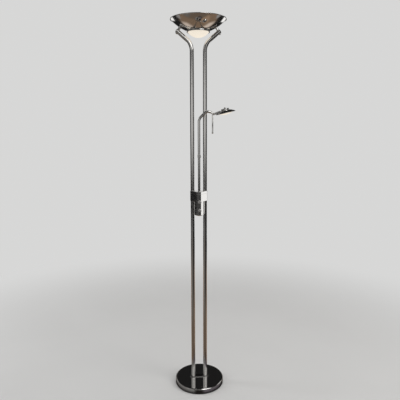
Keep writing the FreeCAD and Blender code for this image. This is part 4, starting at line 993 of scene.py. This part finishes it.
class Finish:
    """Node tree of one material, or of the world."""

    def __init__(self, holder):
        holder.use_nodes = True
        self.tree = holder.node_tree
        self.tree.nodes.clear()

    def node(self, kind, inputs=None, output=0, **settings):
        """New node with its settings, and the values or links of its inputs. Gives one output."""
        made = self.tree.nodes.new(kind)
        for name, setting in settings.items():
            setattr(made, name, setting)
        for name, value in (inputs or {}).items():
            if isinstance(value, Value):
                self.tree.links.new(value.socket, made.inputs[name])
            else:
                made.inputs[name].default_value = value
        return Value(self, made.outputs[output]) if len(made.outputs) else None

    def maths(self, operation, first, second=0.0):
        return self.node("ShaderNodeMath", {0: first, 1: second}, operation=operation)

    def place(self, scale=(1, 1, 1), turn=(0, 0, 0)):
        """Object coordinates, stretched and turned."""
        spot = self.node("ShaderNodeTexCoord", output="Object")
        return self.node("ShaderNodeMapping", {"Vector": spot, "Scale": scale, "Rotation": turn})

    def outputs(self, kind, inputs=None, **settings):
        """All outputs of a node, by name."""
        outputs = self.node(kind, inputs, **settings).socket.node.outputs
        return {socket.name: Value(self, socket) for socket in outputs}

    def axes(self, space="Object"):
        """The three coordinates of that space on their own."""
        spot = self.node("ShaderNodeTexCoord", output=space)
        return self.outputs("ShaderNodeSeparateXYZ", {0: spot}).values()

    def noise(self, scale, detail=3.0, where=None, roughness=0.5):
        return self.node("ShaderNodeTexNoise", {
            "Vector": where or self.place(), "Scale": scale, "Detail": detail,
            "Roughness": roughness})

    def rings(self, radius, density, detail=2.0):
        """Noise that only changes with the radius, as tool marks on a turned piece."""
        return self.node("ShaderNodeTexNoise", {"W": radius * density, "Scale": 1.0,
                                                "Detail": detail}, noise_dimensions="1D")

    def ramp(self, value, low, high, start=0.0, stop=1.0):
        """Smooth step from start to stop as the value goes from low to high."""
        return self.node("ShaderNodeMapRange", {
            "Value": value, "From Min": low, "From Max": high, "To Min": start, "To Max": stop},
            interpolation_type="SMOOTHSTEP")

    def window(self, value, low, high, soft):
        """One between low and high and nothing outside, with soft edges."""
        rise = self.ramp(value, low - soft, low + soft)
        return rise * self.ramp(value, high - soft, high + soft, 1.0, 0.0)

    def mix(self, share, first, second):
        return self.node("ShaderNodeMix", {"Factor": share, 6: solid(first), 7: solid(second)},
                         output=2, data_type="RGBA")

    def bump(self, height, depth, strength):
        return self.node("ShaderNodeBump", {
            "Height": height, "Distance": depth, "Strength": strength})

    def shader(self, **sockets):
        """Principled shader; the names of its sockets are written with low lines."""
        return self.node("ShaderNodeBsdfPrincipled", {
            name.replace("_", " "): solid(value) if name.endswith("Color") else value
            for name, value in sockets.items()})

    def finished(self, base, gloss, height, depth, strength, **more):
        """Principled shader with a fine relief, and whatever else the finish needs."""
        return self.shader(Base_Color=base, Roughness=gloss,
                           Normal=self.bump(height, depth, strength), **more)

    def metal(self, *looks):
        return self.finished(*looks, Metallic=1.0)

    def glow(self, tint):
        """Plain light of that colour."""
        return self.node("ShaderNodeEmission", {"Color": solid(tint), "Strength": 1.0})

    def surface(self, shader, world=False):
        kind = "ShaderNodeOutputWorld" if world else "ShaderNodeOutputMaterial"
        self.node(kind, {"Surface": shader})


def solid(tint):
    """Colour with full cover, unless it comes from a node."""
    return tint if isinstance(tint, Value) else (*tuple(tint)[:3], 1.0)


def shade_of(tint, share):
    """Colour at that share of its brightness."""
    return tuple(part * share for part in tuple(tint)[:3])


def distance(across, deep):
    """Root of the sum of the squares."""
    return (across * across + deep * deep) ** 0.5


# Each finish ends with its base colour, its roughness and its relief: a height, the depth that
# it stands for in metres, and its strength

def chrome(finish, looks):
    """Bright plating: a breath of haze and polishing swirls, fine hairlines, soft unevenness."""
    cloud = finish.noise(9.0, 4.0)
    smudge = finish.ramp(finish.noise(38.0, 5.0, roughness=0.65), 0.45, 0.75)
    hairlines = finish.noise(900.0, 2.0, where=finish.place((1, 1, 0.04), (0.2, 0.1, 0)))
    base = finish.mix(finish.ramp(cloud, 0.35, 0.7, 0, 0.35), looks.chrome, looks.chrome_haze)
    gloss = 0.035 + 0.05 * smudge + 0.03 * finish.ramp(hairlines, 0.55, 0.8)
    return finish.metal(base, gloss, finish.noise(14.0, 1.0) + 0.02 * hairlines, 0.00002, 0.35)


def chrome_turned(finish, looks):
    """Turned knobs: polished flutes, and a front face left with fine round tool marks."""
    x, _, z = finish.axes()
    knobs = bpy.context.scene.floor_lamp.knobs
    radius = finish.maths("MINIMUM", *(distance(x, z - at)
                                       for at in (knobs.upper_z, knobs.lower_z)))
    marks = finish.rings(radius, 4000.0)
    face = finish.ramp(radius, knobs.radius * 0.72, knobs.radius * 0.8, 1.0, 0.0)
    base = finish.mix(marks * face, looks.chrome, looks.chrome_haze)
    return finish.metal(base, 0.05 + 0.26 * face + 0.06 * marks, marks * face, 0.00002, 0.4)


def chrome_shaded(finish, looks):
    """Foot plate: dull plating darkened all over as painted shade, with random patches of paler,
    rougher dust.
    """
    dust = finish.ramp(finish.noise(90.0, 5.0, roughness=0.7), 0.45, 0.8)
    # both colours are the plating darkened as painted shade, the dust's one a little less
    shaded_chrome, shaded_dust = shade_of(looks.chrome, 0.42), shade_of(looks.chrome_haze, 0.6)
    return finish.metal(finish.mix(dust * 0.5, shaded_chrome, shaded_dust), 0.1 + 0.2 * dust,
                        finish.noise(300.0, 2.0), 0.00002, 0.3)


def chrome_bowl(finish, looks):
    """Spun chrome: as the polished plating, with faint rings left by the spinning."""
    x, y, _ = finish.axes()
    rings = finish.rings(distance(x, y), 900.0, 3.0)
    cloud = finish.noise(11.0, 5.0, roughness=0.6)
    base = finish.mix(finish.ramp(cloud, 0.35, 0.7, 0, 0.6), looks.chrome, looks.chrome_haze)
    gloss = 0.06 + 0.08 * finish.ramp(cloud, 0.4, 0.7) + 0.04 * rings
    return finish.metal(base, gloss, rings, 0.00003, 0.25)


def chrome_top(finish, looks):
    """Base plating: polished in rounds, a little dust and fine wiping marks on its flat top."""
    x, y, _ = finish.axes()
    dust = finish.ramp(finish.noise(60.0, 6.0, roughness=0.7), 0.5, 0.8)
    rings = finish.rings(distance(x, y), 700.0)
    base = finish.mix(dust * 0.4, looks.chrome, looks.chrome_haze)
    return finish.metal(base, 0.03 + 0.05 * dust + 0.02 * rings, rings, 0.00001, 0.2)


def steel(finish, looks):
    """Head bracket: pressed plate, plated over fine brushing."""
    brushed = finish.noise(260.0, 3.0, where=finish.place((1, 1, 0.05)))
    base = finish.mix(finish.ramp(brushed, 0.3, 0.7), shade_of(looks.chrome, 0.36),
                      shade_of(looks.chrome_haze, 0.5))
    return finish.metal(base, 0.16 + 0.1 * brushed, brushed, 0.00003, 0.4)


def zinc(finish, looks):
    """Bright zinc: pale yellow and blue bloom over a fine crystalline grain."""
    bloom = finish.ramp(finish.noise(120.0, 3.0), 0.35, 0.65)
    grain = finish.noise(2500.0, 2.0)
    base = finish.mix(bloom, looks.zinc, shade_of(looks.zinc, 0.8))
    return finish.metal(base, 0.28 + 0.18 * grain, grain, 0.00004, 0.4)


def cast_iron(finish, looks):
    """Rough dark casting with a bloom of rust."""
    grit = finish.noise(900.0, 5.0, roughness=0.7)
    rust = finish.ramp(finish.noise(30.0, 5.0), 0.55, 0.75)
    base = finish.mix(rust, looks.cast_iron, (0.16, 0.07, 0.035))
    return finish.finished(base, 0.62 + 0.25 * grit, grit, 0.0003, 0.6, Metallic=0.6)


def cast_alloy(finish, looks):
    """Clean casting with a sandy grain."""
    grit = finish.noise(1200.0, 4.0)
    base = finish.mix(grit, looks.alloy, shade_of(looks.alloy, 0.7))
    return finish.metal(base, 0.4 + 0.2 * grit, grit, 0.0001, 0.5)


def rubber(finish, looks):
    """Matt rubber with a moulded grain and grey scuffs at its edge."""
    grain = finish.noise(1600.0, 3.0)
    scuff = finish.ramp(finish.noise(80.0, 5.0), 0.55, 0.8)
    base = finish.mix(scuff * 0.5, looks.rubber, (0.12, 0.115, 0.11))
    return finish.finished(base, 0.7 + 0.2 * grain, grain, 0.0001, 0.5)


def black_plastic(finish, looks):
    """Moulded plastic, a little worn to grey."""
    grain = finish.noise(2200.0, 2.0)
    wear = finish.ramp(finish.noise(150.0, 4.0), 0.6, 0.8)
    base = finish.mix(wear * 0.5, looks.black, (0.07, 0.07, 0.07))
    return finish.finished(base, 0.38 + 0.2 * grain, grain, 0.00005, 0.4)


def board(finish, looks):
    """Resin board: woven paper layers under a glossy brown lacquer."""
    weave = finish.noise(1400.0, 2.0, where=finish.place((1, 1, 6)))
    base = finish.mix(weave, looks.board, shade_of(looks.board, 0.7))
    return finish.finished(base, 0.35 + 0.15 * weave, weave, 0.00005, 0.3)


def lit_glass(finish, looks, reach, middle):
    """Etched glass over a lamp: warm light that is strongest above the lamp and fades to the
    edge, over a fine frosted grain."""
    x, y, _ = finish.axes()
    away = distance(x - middle[0], y - middle[1])
    falloff = finish.ramp(away, 0.15 * reach, reach, 1.0, 0.62)
    cloud = finish.ramp(finish.noise(45.0, 4.0), 0.3, 0.75, 0.0, 0.25)
    grain = finish.noise(3000.0, 2.0)
    light = finish.mix(falloff, shade_of(looks.glow, 0.72), looks.glow)
    light = finish.mix(cloud, light, shade_of(looks.glow, 0.8))
    unlit = shade_of(looks.frost, 0.22)
    base = finish.mix(grain, unlit, shade_of(unlit, 0.85))
    return finish.finished(base, 0.42 + 0.2 * grain, grain, 0.00004, 0.5,
                           Emission_Color=light, Emission_Strength=0.86)


def dish_glass(finish, looks):
    """The bowl's dish, lit from its middle."""
    return lit_glass(finish, looks, 0.05, (0.0, 0.0))


def head_glass(finish, looks):
    """The reading glass, lit from the shade's axis."""
    lamp = bpy.context.scene.floor_lamp
    return lit_glass(finish, looks, 0.036, (lamp.head.centre_x, lamp.housing.front_y))


def quartz(finish, looks):
    """Clear fused glass with a faint milky band where it is pinched."""
    x, *_ = finish.axes()
    milky = finish.ramp(finish.maths("ABSOLUTE", x), 0.03, 0.045)
    streak = finish.noise(60.0, 3.0, where=finish.place((0.1, 1, 1)))
    base = finish.mix(milky, looks.quartz, shade_of(looks.quartz, 0.85))
    return finish.finished(base, 0.02 + 0.25 * milky + 0.03 * streak, streak, 0.00005, 0.3,
                           Transmission_Weight=0.9, IOR=1.46)


def ceramic(finish, looks):
    """Unglazed white ware with pores and a smoky tint from the lamp's heat."""
    pores = finish.noise(1800.0, 4.0, roughness=0.7)
    smoke = finish.ramp(finish.noise(50.0, 4.0), 0.45, 0.8)
    base = finish.mix(smoke * 0.6, looks.ceramic, shade_of(looks.ceramic, 0.72))
    return finish.finished(base, 0.72 + 0.2 * pores, pores, 0.0001, 0.6)


def filament(finish, looks):
    """Glowing tungsten wire."""
    wire = finish.noise(4000.0, 2.0)
    base = finish.mix(wire, looks.filament, shade_of(looks.filament, 0.7))
    return finish.shader(Base_Color=base, Metallic=1.0, Roughness=0.4 + 0.2 * wire,
                         Emission_Color=base, Emission_Strength=2.5)


FINISHES = {make.__name__: make for make in (
    chrome, chrome_turned, chrome_shaded, chrome_bowl, chrome_top, steel, zinc, cast_iron,
    cast_alloy, rubber, black_plastic, board, dish_glass, head_glass, quartz, ceramic, filament)}


def material(name):
    """The finish of that name, built the first time it is asked for."""
    made = bpy.data.materials.get(name)
    if made is None:
        made = bpy.data.materials.new(name)
        finish = Finish(made)
        finish.surface(FINISHES[name](finish, bpy.context.scene.floor_lamp.finishes))
    return made


# Frame parts that keep their shape

DRESSED = {
    "chrome": ("arm_fork", "arm_stop_screw", "bowl_bolts", "bowl_spacers", "cap_nuts",
               "swivel_spigot"),
    "steel": ("head_bracket",),
    "zinc": ("base_nipples", "base_nuts", "base_washers", "bracket_screws", "joint_nipples",
             "lamp_bracket", "lower_dimmer_shaft", "upper_dimmer_shaft", "tilt_nut"),
    "cast_iron": ("base_weight",),
    "cast_alloy": ("pole_clamp",),
    "rubber": ("base_pad",),
    "black_plastic": ("arm_bush", "cord_bush", "dimmer_bodies", "pole_end_bushes"),
    "board": ("dimmer_board",),
    "ceramic": ("reading_lampholder", "uplight_holders"),
    "quartz": ("reading_lamp",),
}


def dress_frame():
    """Put the finishes of the table above on the frame's own nodes."""
    for name, nodes in DRESSED.items():
        for node in nodes:
            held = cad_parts[node]
            if not held.material_slots:
                held.data.materials.append(None)
            for slot in held.material_slots:
                slot.material = material(name)


# Studio

def bearing(finish, studio, x, y):
    """Degrees round the lamp from the camera's side, positive to the right."""
    cos, sin = math.cos(studio.camera_turn), math.sin(studio.camera_turn)
    right, front = x * cos + y * sin, x * sin - y * cos
    return finish.maths("ARCTAN2", right, front) * math.degrees(1)


def floor_finish(finish, studio):
    """Pale painted floor, lit as it lies; far away it fades into the pale backdrop. Mirrors see
    zones on it instead, each laid over those before it, and a shaded ring close to the base. A
    sector is a range of bearings in degrees, and a belt one of distances."""
    x, y, _ = finish.axes()
    away, turn = distance(x, y), bearing(finish, studio, x, y)
    side = finish.maths("ABSOLUTE", turn)
    sector, both, belt = (partial(finish.window, value) for value in (turn, side, away))
    beyond = partial(finish.ramp, away)
    woven = finish.ramp(finish.noise(6.0, 5.0, roughness=0.7), 0.35, 0.65)
    seen = finish.mix(woven, shade_of(studio.mat, 0.85), studio.mat)
    for share, tint in (
            # right of the lamp, and in front of it
            (sector(75, 140, 16) * belt(0.2, 0.95, 0.15) * 0.8, shade_of(studio.mat, 1.45)),
            (sector(-95, 75, 16) * 0.85, studio.front_floor),
            # paler patches behind to both sides, and the dark beyond the mat
            (belt(1.15, 2.1, 0.25) * both(134, 170, 8), studio.mat_edge),
            (beyond(1.6, 2.5), studio.flag),
            # dark to the front right, from a step away on and close to the base
            (sector(12, 82, 10) * beyond(0.85, 1.35), studio.flag),
            (sector(14, 84, 8) * belt(0.18, 0.34, 0.05) * 0.7, studio.flag),
            # grey to the front left, and a patch far to either side
            (sector(-92, 6, 9) * beyond(0.6, 0.95), studio.grey_floor),
            (both(108, 123, 3) * belt(1.8, 2.6, 0.12), studio.side_patch)):
        seen = finish.mix(share, seen, tint)
    edge = finish.mix(sector(-115, -13, 7), studio.flag, studio.near_floor)
    edge = finish.mix(sector(12, 78, 7), edge, studio.near_right)
    foot = bpy.context.scene.floor_lamp.base.radius
    edge = finish.mix(beyond(foot, 0.158), studio.flag, edge)
    seen = finish.mix(beyond(0.18, 0.29), edge, seen)

    grain = finish.noise(180.0, 4.0)
    cloud = finish.ramp(finish.noise(2.5, 3.0), 0.35, 0.65)
    tint = finish.mix(cloud, studio.floor, shade_of(studio.floor, 0.985))
    lit = finish.finished(tint, 0.65 + 0.1 * grain, grain, 0.0002, 0.15)
    mirror = finish.outputs("ShaderNodeLightPath")["Is Glossy Ray"]
    plain = finish.node("ShaderNodeMixShader", {
        0: beyond(0.9, 2.4), 1: lit, 2: finish.glow(studio.backdrop)})
    finish.surface(finish.node("ShaderNodeMixShader", {0: mirror, 1: plain, 2: finish.glow(seen)}))


def world_finish(finish, studio):
    """Pale backdrop for the camera and through glass. Mirrors see a dark studio instead, with
    soft panels. A sector is a range of bearings in degrees, and a band one of heights, as the
    sine of the angle above the horizon."""
    x, y, z = finish.axes("Generated")
    turn = bearing(finish, studio, x, y)
    side = finish.maths("ABSOLUTE", turn)
    slant = side - 45.0 * z - 9.45          # edges that lean outwards, 45 degrees by height
    sector, sloping, band = (partial(finish.window, value) for value in (turn, slant, z))
    left_end = sloping(143.0, 154.5, 0.8) * finish.ramp(turn, -91.0, -89.0, 1.0, 0.0)
    right_end = sloping(143.0, 157.0, 0.8) * finish.ramp(turn, 89.0, 91.0)
    rise, fall = finish.ramp(z, -0.17, 0.0), finish.ramp(z, 0.07, 0.2, 1.0, 0.0)
    level = sum((share * strength for share, strength in (
        # behind, just above the horizon, and a strip to each side of that below it
        (finish.ramp(side, 150, 160) * band(0.0, 0.22, 0.03), 0.66),
        ((left_end + right_end) * band(-0.345, -0.06, 0.025), 1.1),
        # in front at eye height, and low down to the front left
        (sector(-62, 38, 16) * rise * fall, 0.56),
        (sector(-90, 6, 9) * band(-0.5, -0.21, 0.012), 0.15),
        # to the right: faint at eye height, and two bright ones high up
        (sector(38, 112, 14) * band(-0.1, 0.2, 0.03), 0.08),
        (sector(15, 56, 6) * (band(0.21, 0.46, 0.02) + band(0.57, 0.95, 0.03)), 2.2),
        # high up in front, behind to the right, and all along the left
        (sector(-30, 75, 14) * band(0.46, 0.55, 0.03), 0.5),
        (sector(96, 134, 8) * band(0.24, 0.6, 0.05), 0.8),
        (sector(-165, -35, 10) * band(0.22, 0.6, 0.05), 0.3))), 0.013)
    rays = finish.outputs("ShaderNodeLightPath")
    mirror, diffuse = rays["Is Glossy Ray"], rays["Is Diffuse Ray"]
    background = finish.node("ShaderNodeBackground", {
        "Color": finish.mix(mirror, studio.backdrop, (1.0, 0.995, 0.985)),
        "Strength": 1.0 + mirror * (level - 1.0) - diffuse * 0.34})
    finish.surface(background, world=True)


def studio_floor(studio):
    """Large round floor, its rows closer together near the lamp."""
    radii = np.append(np.geomspace(0.05, 3.0, 40)[::-1], 0.0)
    made, mesh = Skin().add(ringed(np.stack((radii, 0 * radii), -1))).shown("studio_floor")
    floor = bpy.data.materials.new("studio_floor")
    floor_finish(Finish(floor), studio)
    mesh.materials.append(floor)


LIGHTS = (
    # name, place, target, width and height, power, colour
    ("right_window", (2.2, -1.3, 2.1), (0, 0, 1.0), (1.2, 2.2), 26, (1.0, 0.99, 0.97)),
    ("left_strip", (-1.9, 0.4, 1.6), (0, 0, 1.0), (0.35, 2.2), 9, (0.97, 0.985, 1.0)),
    ("overhead", (0.1, 0.2, 3.4), (0, 0, 0), (1.6, 1.6), 22, (1.0, 1.0, 1.0)),
    ("housing_window", (1.45, -0.25, 0.68), (0, -0.02, 0.95), (2.4, 0.7), 5.5, (1.0, 1.0, 1.0)))


def soft_light(name, spot, target, size, power, tint):
    """Soft window that lights the lamp and that the polished metal doesn't show."""
    data = bpy.data.lights.new(name, "AREA")
    data.shape, (data.size, data.size_y) = "RECTANGLE", size
    data.energy, data.color = power, tint
    made = linked(name, data)
    aim = (Vector(target) - Vector(spot)).to_track_quat("-Z", "Y")
    made.matrix_world = Matrix.Translation(spot) @ aim.to_matrix().to_4x4()
    made.visible_glossy = False
    return made


def studio_camera(studio):
    """Camera at the photograph's viewing angle, turned about the lamp."""
    data = bpy.data.cameras.new("camera")
    data.sensor_width, data.lens = 36.0, studio.focal * 1000
    made = linked("camera", data)
    turn = Matrix.Rotation(studio.camera_turn, 4, "Z")
    spot = turn @ Vector((studio.camera_x, -studio.camera_distance, studio.camera_z))
    tilt = Matrix.Rotation(math.pi / 2 - studio.camera_pitch, 4, "X")
    made.matrix_world = (Matrix.Translation(spot) @ turn @ tilt
                         @ Matrix.Rotation(studio.camera_roll, 4, "Z"))
    bpy.context.scene.camera = made


# Operators

class Step:
    """What every step of the lamp has in common: it can be undone."""
    bl_options = {"REGISTER", "UNDO"}


class FLOORLAMP_OT_base(Step, bpy.types.Operator):
    """Add the round base cover and its foot plate"""
    bl_idname = "floor_lamp.base"
    bl_label = "Base"

    def execute(self, context):
        lamp = context.scene.floor_lamp
        base_cover(lamp.base).piece("base_spun_cover", "stand", ["base_cover"], ["chrome_top"])
        foot_plate(lamp.base).piece("base_foot_plate", "stand", ["foot_plate"], ["chrome_shaded"])
        return {"FINISHED"}


class FLOORLAMP_OT_poles(Step, bpy.types.Operator):
    """Add the two poles and the curved arms on them"""
    bl_idname = "floor_lamp.poles"
    bl_label = "Poles and arms"

    def execute(self, context):
        lamp = context.scene.floor_lamp
        for name, side in BOTH_SIDES:
            pole(lamp.base, lamp.poles, side).piece(
                f"pole_{name}", "stand", [f"lower_pole_{name}", f"middle_pole_{name}"])
            curved_arm(lamp.poles, lamp.bowl, side).piece(
                f"curved_arm_{name}", "stand", [f"upper_arm_{name}"])
        arm_end_caps(lamp.poles, lamp.bowl).piece("arm_plugs", "stand", ["arm_end_caps"])
        return {"FINISHED"}


class FLOORLAMP_OT_bowl(Step, bpy.types.Operator):
    """Add the bowl with its ring and frosted dish"""
    bl_idname = "floor_lamp.bowl"
    bl_label = "Bowl"

    def execute(self, context):
        lamp = context.scene.floor_lamp
        bowl_shell(lamp.bowl).piece("spun_bowl", "stand", ["bowl"], ["chrome_bowl"])
        dish_ring(lamp.bowl, lamp.dish).piece("bowl_ring", "stand", ["dish_ring"])
        glass_dish(lamp.bowl, lamp.dish).piece(
            "frosted_dish", "stand", ["glass_dish"], ["dish_glass"], "frosted_glass")
        linear_lamp(lamp.lamps).piece("bowl_lamp", "stand", ["uplight_lamp"],
                                      ["quartz", "ceramic", "filament"], "clear_glass")
        return {"FINISHED"}


class FLOORLAMP_OT_housing(Step, bpy.types.Operator):
    """Add the control housing, its cap and its rear screws"""
    bl_idname = "floor_lamp.housing"
    bl_label = "Control housing"

    def execute(self, context):
        lamp = context.scene.floor_lamp
        block = housing_block(lamp.housing, lamp.poles).piece(
            "housing_shell", "stand", ["control_housing", "housing_end_cap"])
        cap = housing_cap(lamp.housing, lamp.poles).piece(
            "housing_cap", "stand", ["housing_top_cap"])
        for made in (block, cap):
            bpy.data.collections["housing"].objects.link(made)
        clamp_screws(lamp.housing).piece("rear_screws", "stand", ["clamp_screws"], ["zinc"],
                                         "zinc_steel")
        return {"FINISHED"}


class FLOORLAMP_OT_knobs(Step, bpy.types.Operator):
    """Add the two dimmer knobs"""
    bl_idname = "floor_lamp.knobs"
    bl_label = "Knobs"

    def execute(self, context):
        lamp = context.scene.floor_lamp
        for name, z in (("upper", lamp.knobs.upper_z), ("lower", lamp.knobs.lower_z)):
            knob(lamp.knobs, lamp.housing, z).piece(
                f"{name}_fluted_knob", f"{name}_knob", [f"{name}_dimmer_knob"], ["chrome_turned"])
        return {"FINISHED"}


class FLOORLAMP_OT_reading_arm(Step, bpy.types.Operator):
    """Add the stem, the swivelling arm, its handle and its tilt screw"""
    bl_idname = "floor_lamp.reading_arm"
    bl_label = "Reading arm"

    def execute(self, context):
        lamp = context.scene.floor_lamp
        housing, arm = lamp.housing, lamp.arm
        stem(housing, arm).piece("stem", "stand", ["stem_tube"])
        ferrule(housing, arm).piece("swivel_sleeve", "reading_arm", ["arm_ferrule"])
        tube, end, heading = arm_tube(housing, arm)
        tube.piece("swept_arm", "reading_arm", ["reading_arm_tube"])
        pivot = tilt_axis(arm, end, heading)
        handle(housing, arm, pivot, heading).piece(
            "handle", "reading_arm", ["handle_rod", "handle_ball"])
        tilt_knob(housing, arm, pivot).piece("tilt_screw_head", "reading_arm", ["tilt_screw"])
        return {"FINISHED"}


class FLOORLAMP_OT_reading_head(Step, bpy.types.Operator):
    """Add the shade with its cap, its nut and its frosted glass"""
    bl_idname = "floor_lamp.reading_head"
    bl_label = "Reading head"

    def execute(self, context):
        lamp = context.scene.floor_lamp
        head, housing = lamp.head, lamp.housing
        for name, node, outline, closed, *looks in (
                ("shade_cone", "reading_shade", shade(head), False),
                ("shade_back_cap", "shade_cap", shade_cap(head), False),
                ("turned_finial", "shade_finial", finial(head), False),
                ("rim_ring", "glass_ring", glass_ring(head), True),
                ("domed_glass", "reading_glass", reading_glass(head), False,
                 ["head_glass"], "frosted_glass")):
            head_skin(outline, head, housing, closed).piece(name, "reading_head", [node], *looks)
        return {"FINISHED"}


class FLOORLAMP_OT_frame_finishes(Step, bpy.types.Operator):
    """Give the frame's own parts their finishes"""
    bl_idname = "floor_lamp.frame_finishes"
    bl_label = "Frame finishes"

    def execute(self, context):
        dress_frame()
        return {"FINISHED"}


class FLOORLAMP_OT_studio(Step, bpy.types.Operator):
    """Add the pale floor, the backdrop, the soft lights and the camera"""
    bl_idname = "floor_lamp.studio"
    bl_label = "Studio"

    def execute(self, context):
        scene = context.scene
        studio = scene.floor_lamp.studio
        studio_camera(studio)
        studio_floor(studio)
        world = bpy.data.worlds.new("studio")
        scene.world = world
        world_finish(Finish(world), studio)
        for light in LIGHTS:
            made = soft_light(*light)
        # the last one shows in the housing's metal, and lights nothing else
        made.visible_glossy = True
        made.light_linking.receiver_collection = bpy.data.collections.new("housing")
        scene.view_settings.view_transform = "Standard"
        return {"FINISHED"}


class FLOORLAMP_PT_panel(bpy.types.Panel):
    bl_idname = "FLOORLAMP_PT_panel"
    bl_label = "Floor lamp"
    bl_space_type = "VIEW_3D"
    bl_region_type = "UI"
    bl_category = "Floor lamp"

    def draw(self, context):
        for operator in OPERATORS:
            self.layout.operator(operator.bl_idname)
        lamp = context.scene.floor_lamp
        for name in lamp.__annotations__:
            group = getattr(lamp, name)
            box = self.layout.box()
            box.label(text=lamp.bl_rna.properties[name].name)
            for size in group.__annotations__:
                box.prop(group, size)


OPERATORS = (
    FLOORLAMP_OT_studio, FLOORLAMP_OT_base, FLOORLAMP_OT_poles, FLOORLAMP_OT_bowl,
    FLOORLAMP_OT_housing, FLOORLAMP_OT_knobs, FLOORLAMP_OT_reading_arm, FLOORLAMP_OT_reading_head,
    FLOORLAMP_OT_frame_finishes)
CLASSES = (*GROUPS, FloorLamp, *OPERATORS, FLOORLAMP_PT_panel)


def register():
    for kind in CLASSES:
        bpy.utils.register_class(kind)
    bpy.types.Scene.floor_lamp = PointerProperty(type=FloorLamp)


def unregister():
    del bpy.types.Scene.floor_lamp
    for kind in reversed(CLASSES):
        bpy.utils.unregister_class(kind)


def main():
    register()
    for step in ("studio", "base", "poles", "bowl", "housing", "knobs", "reading_arm",
                 "reading_head", "frame_finishes"):
        getattr(bpy.ops.floor_lamp, step)()


if __name__ == "__main__":
    main()
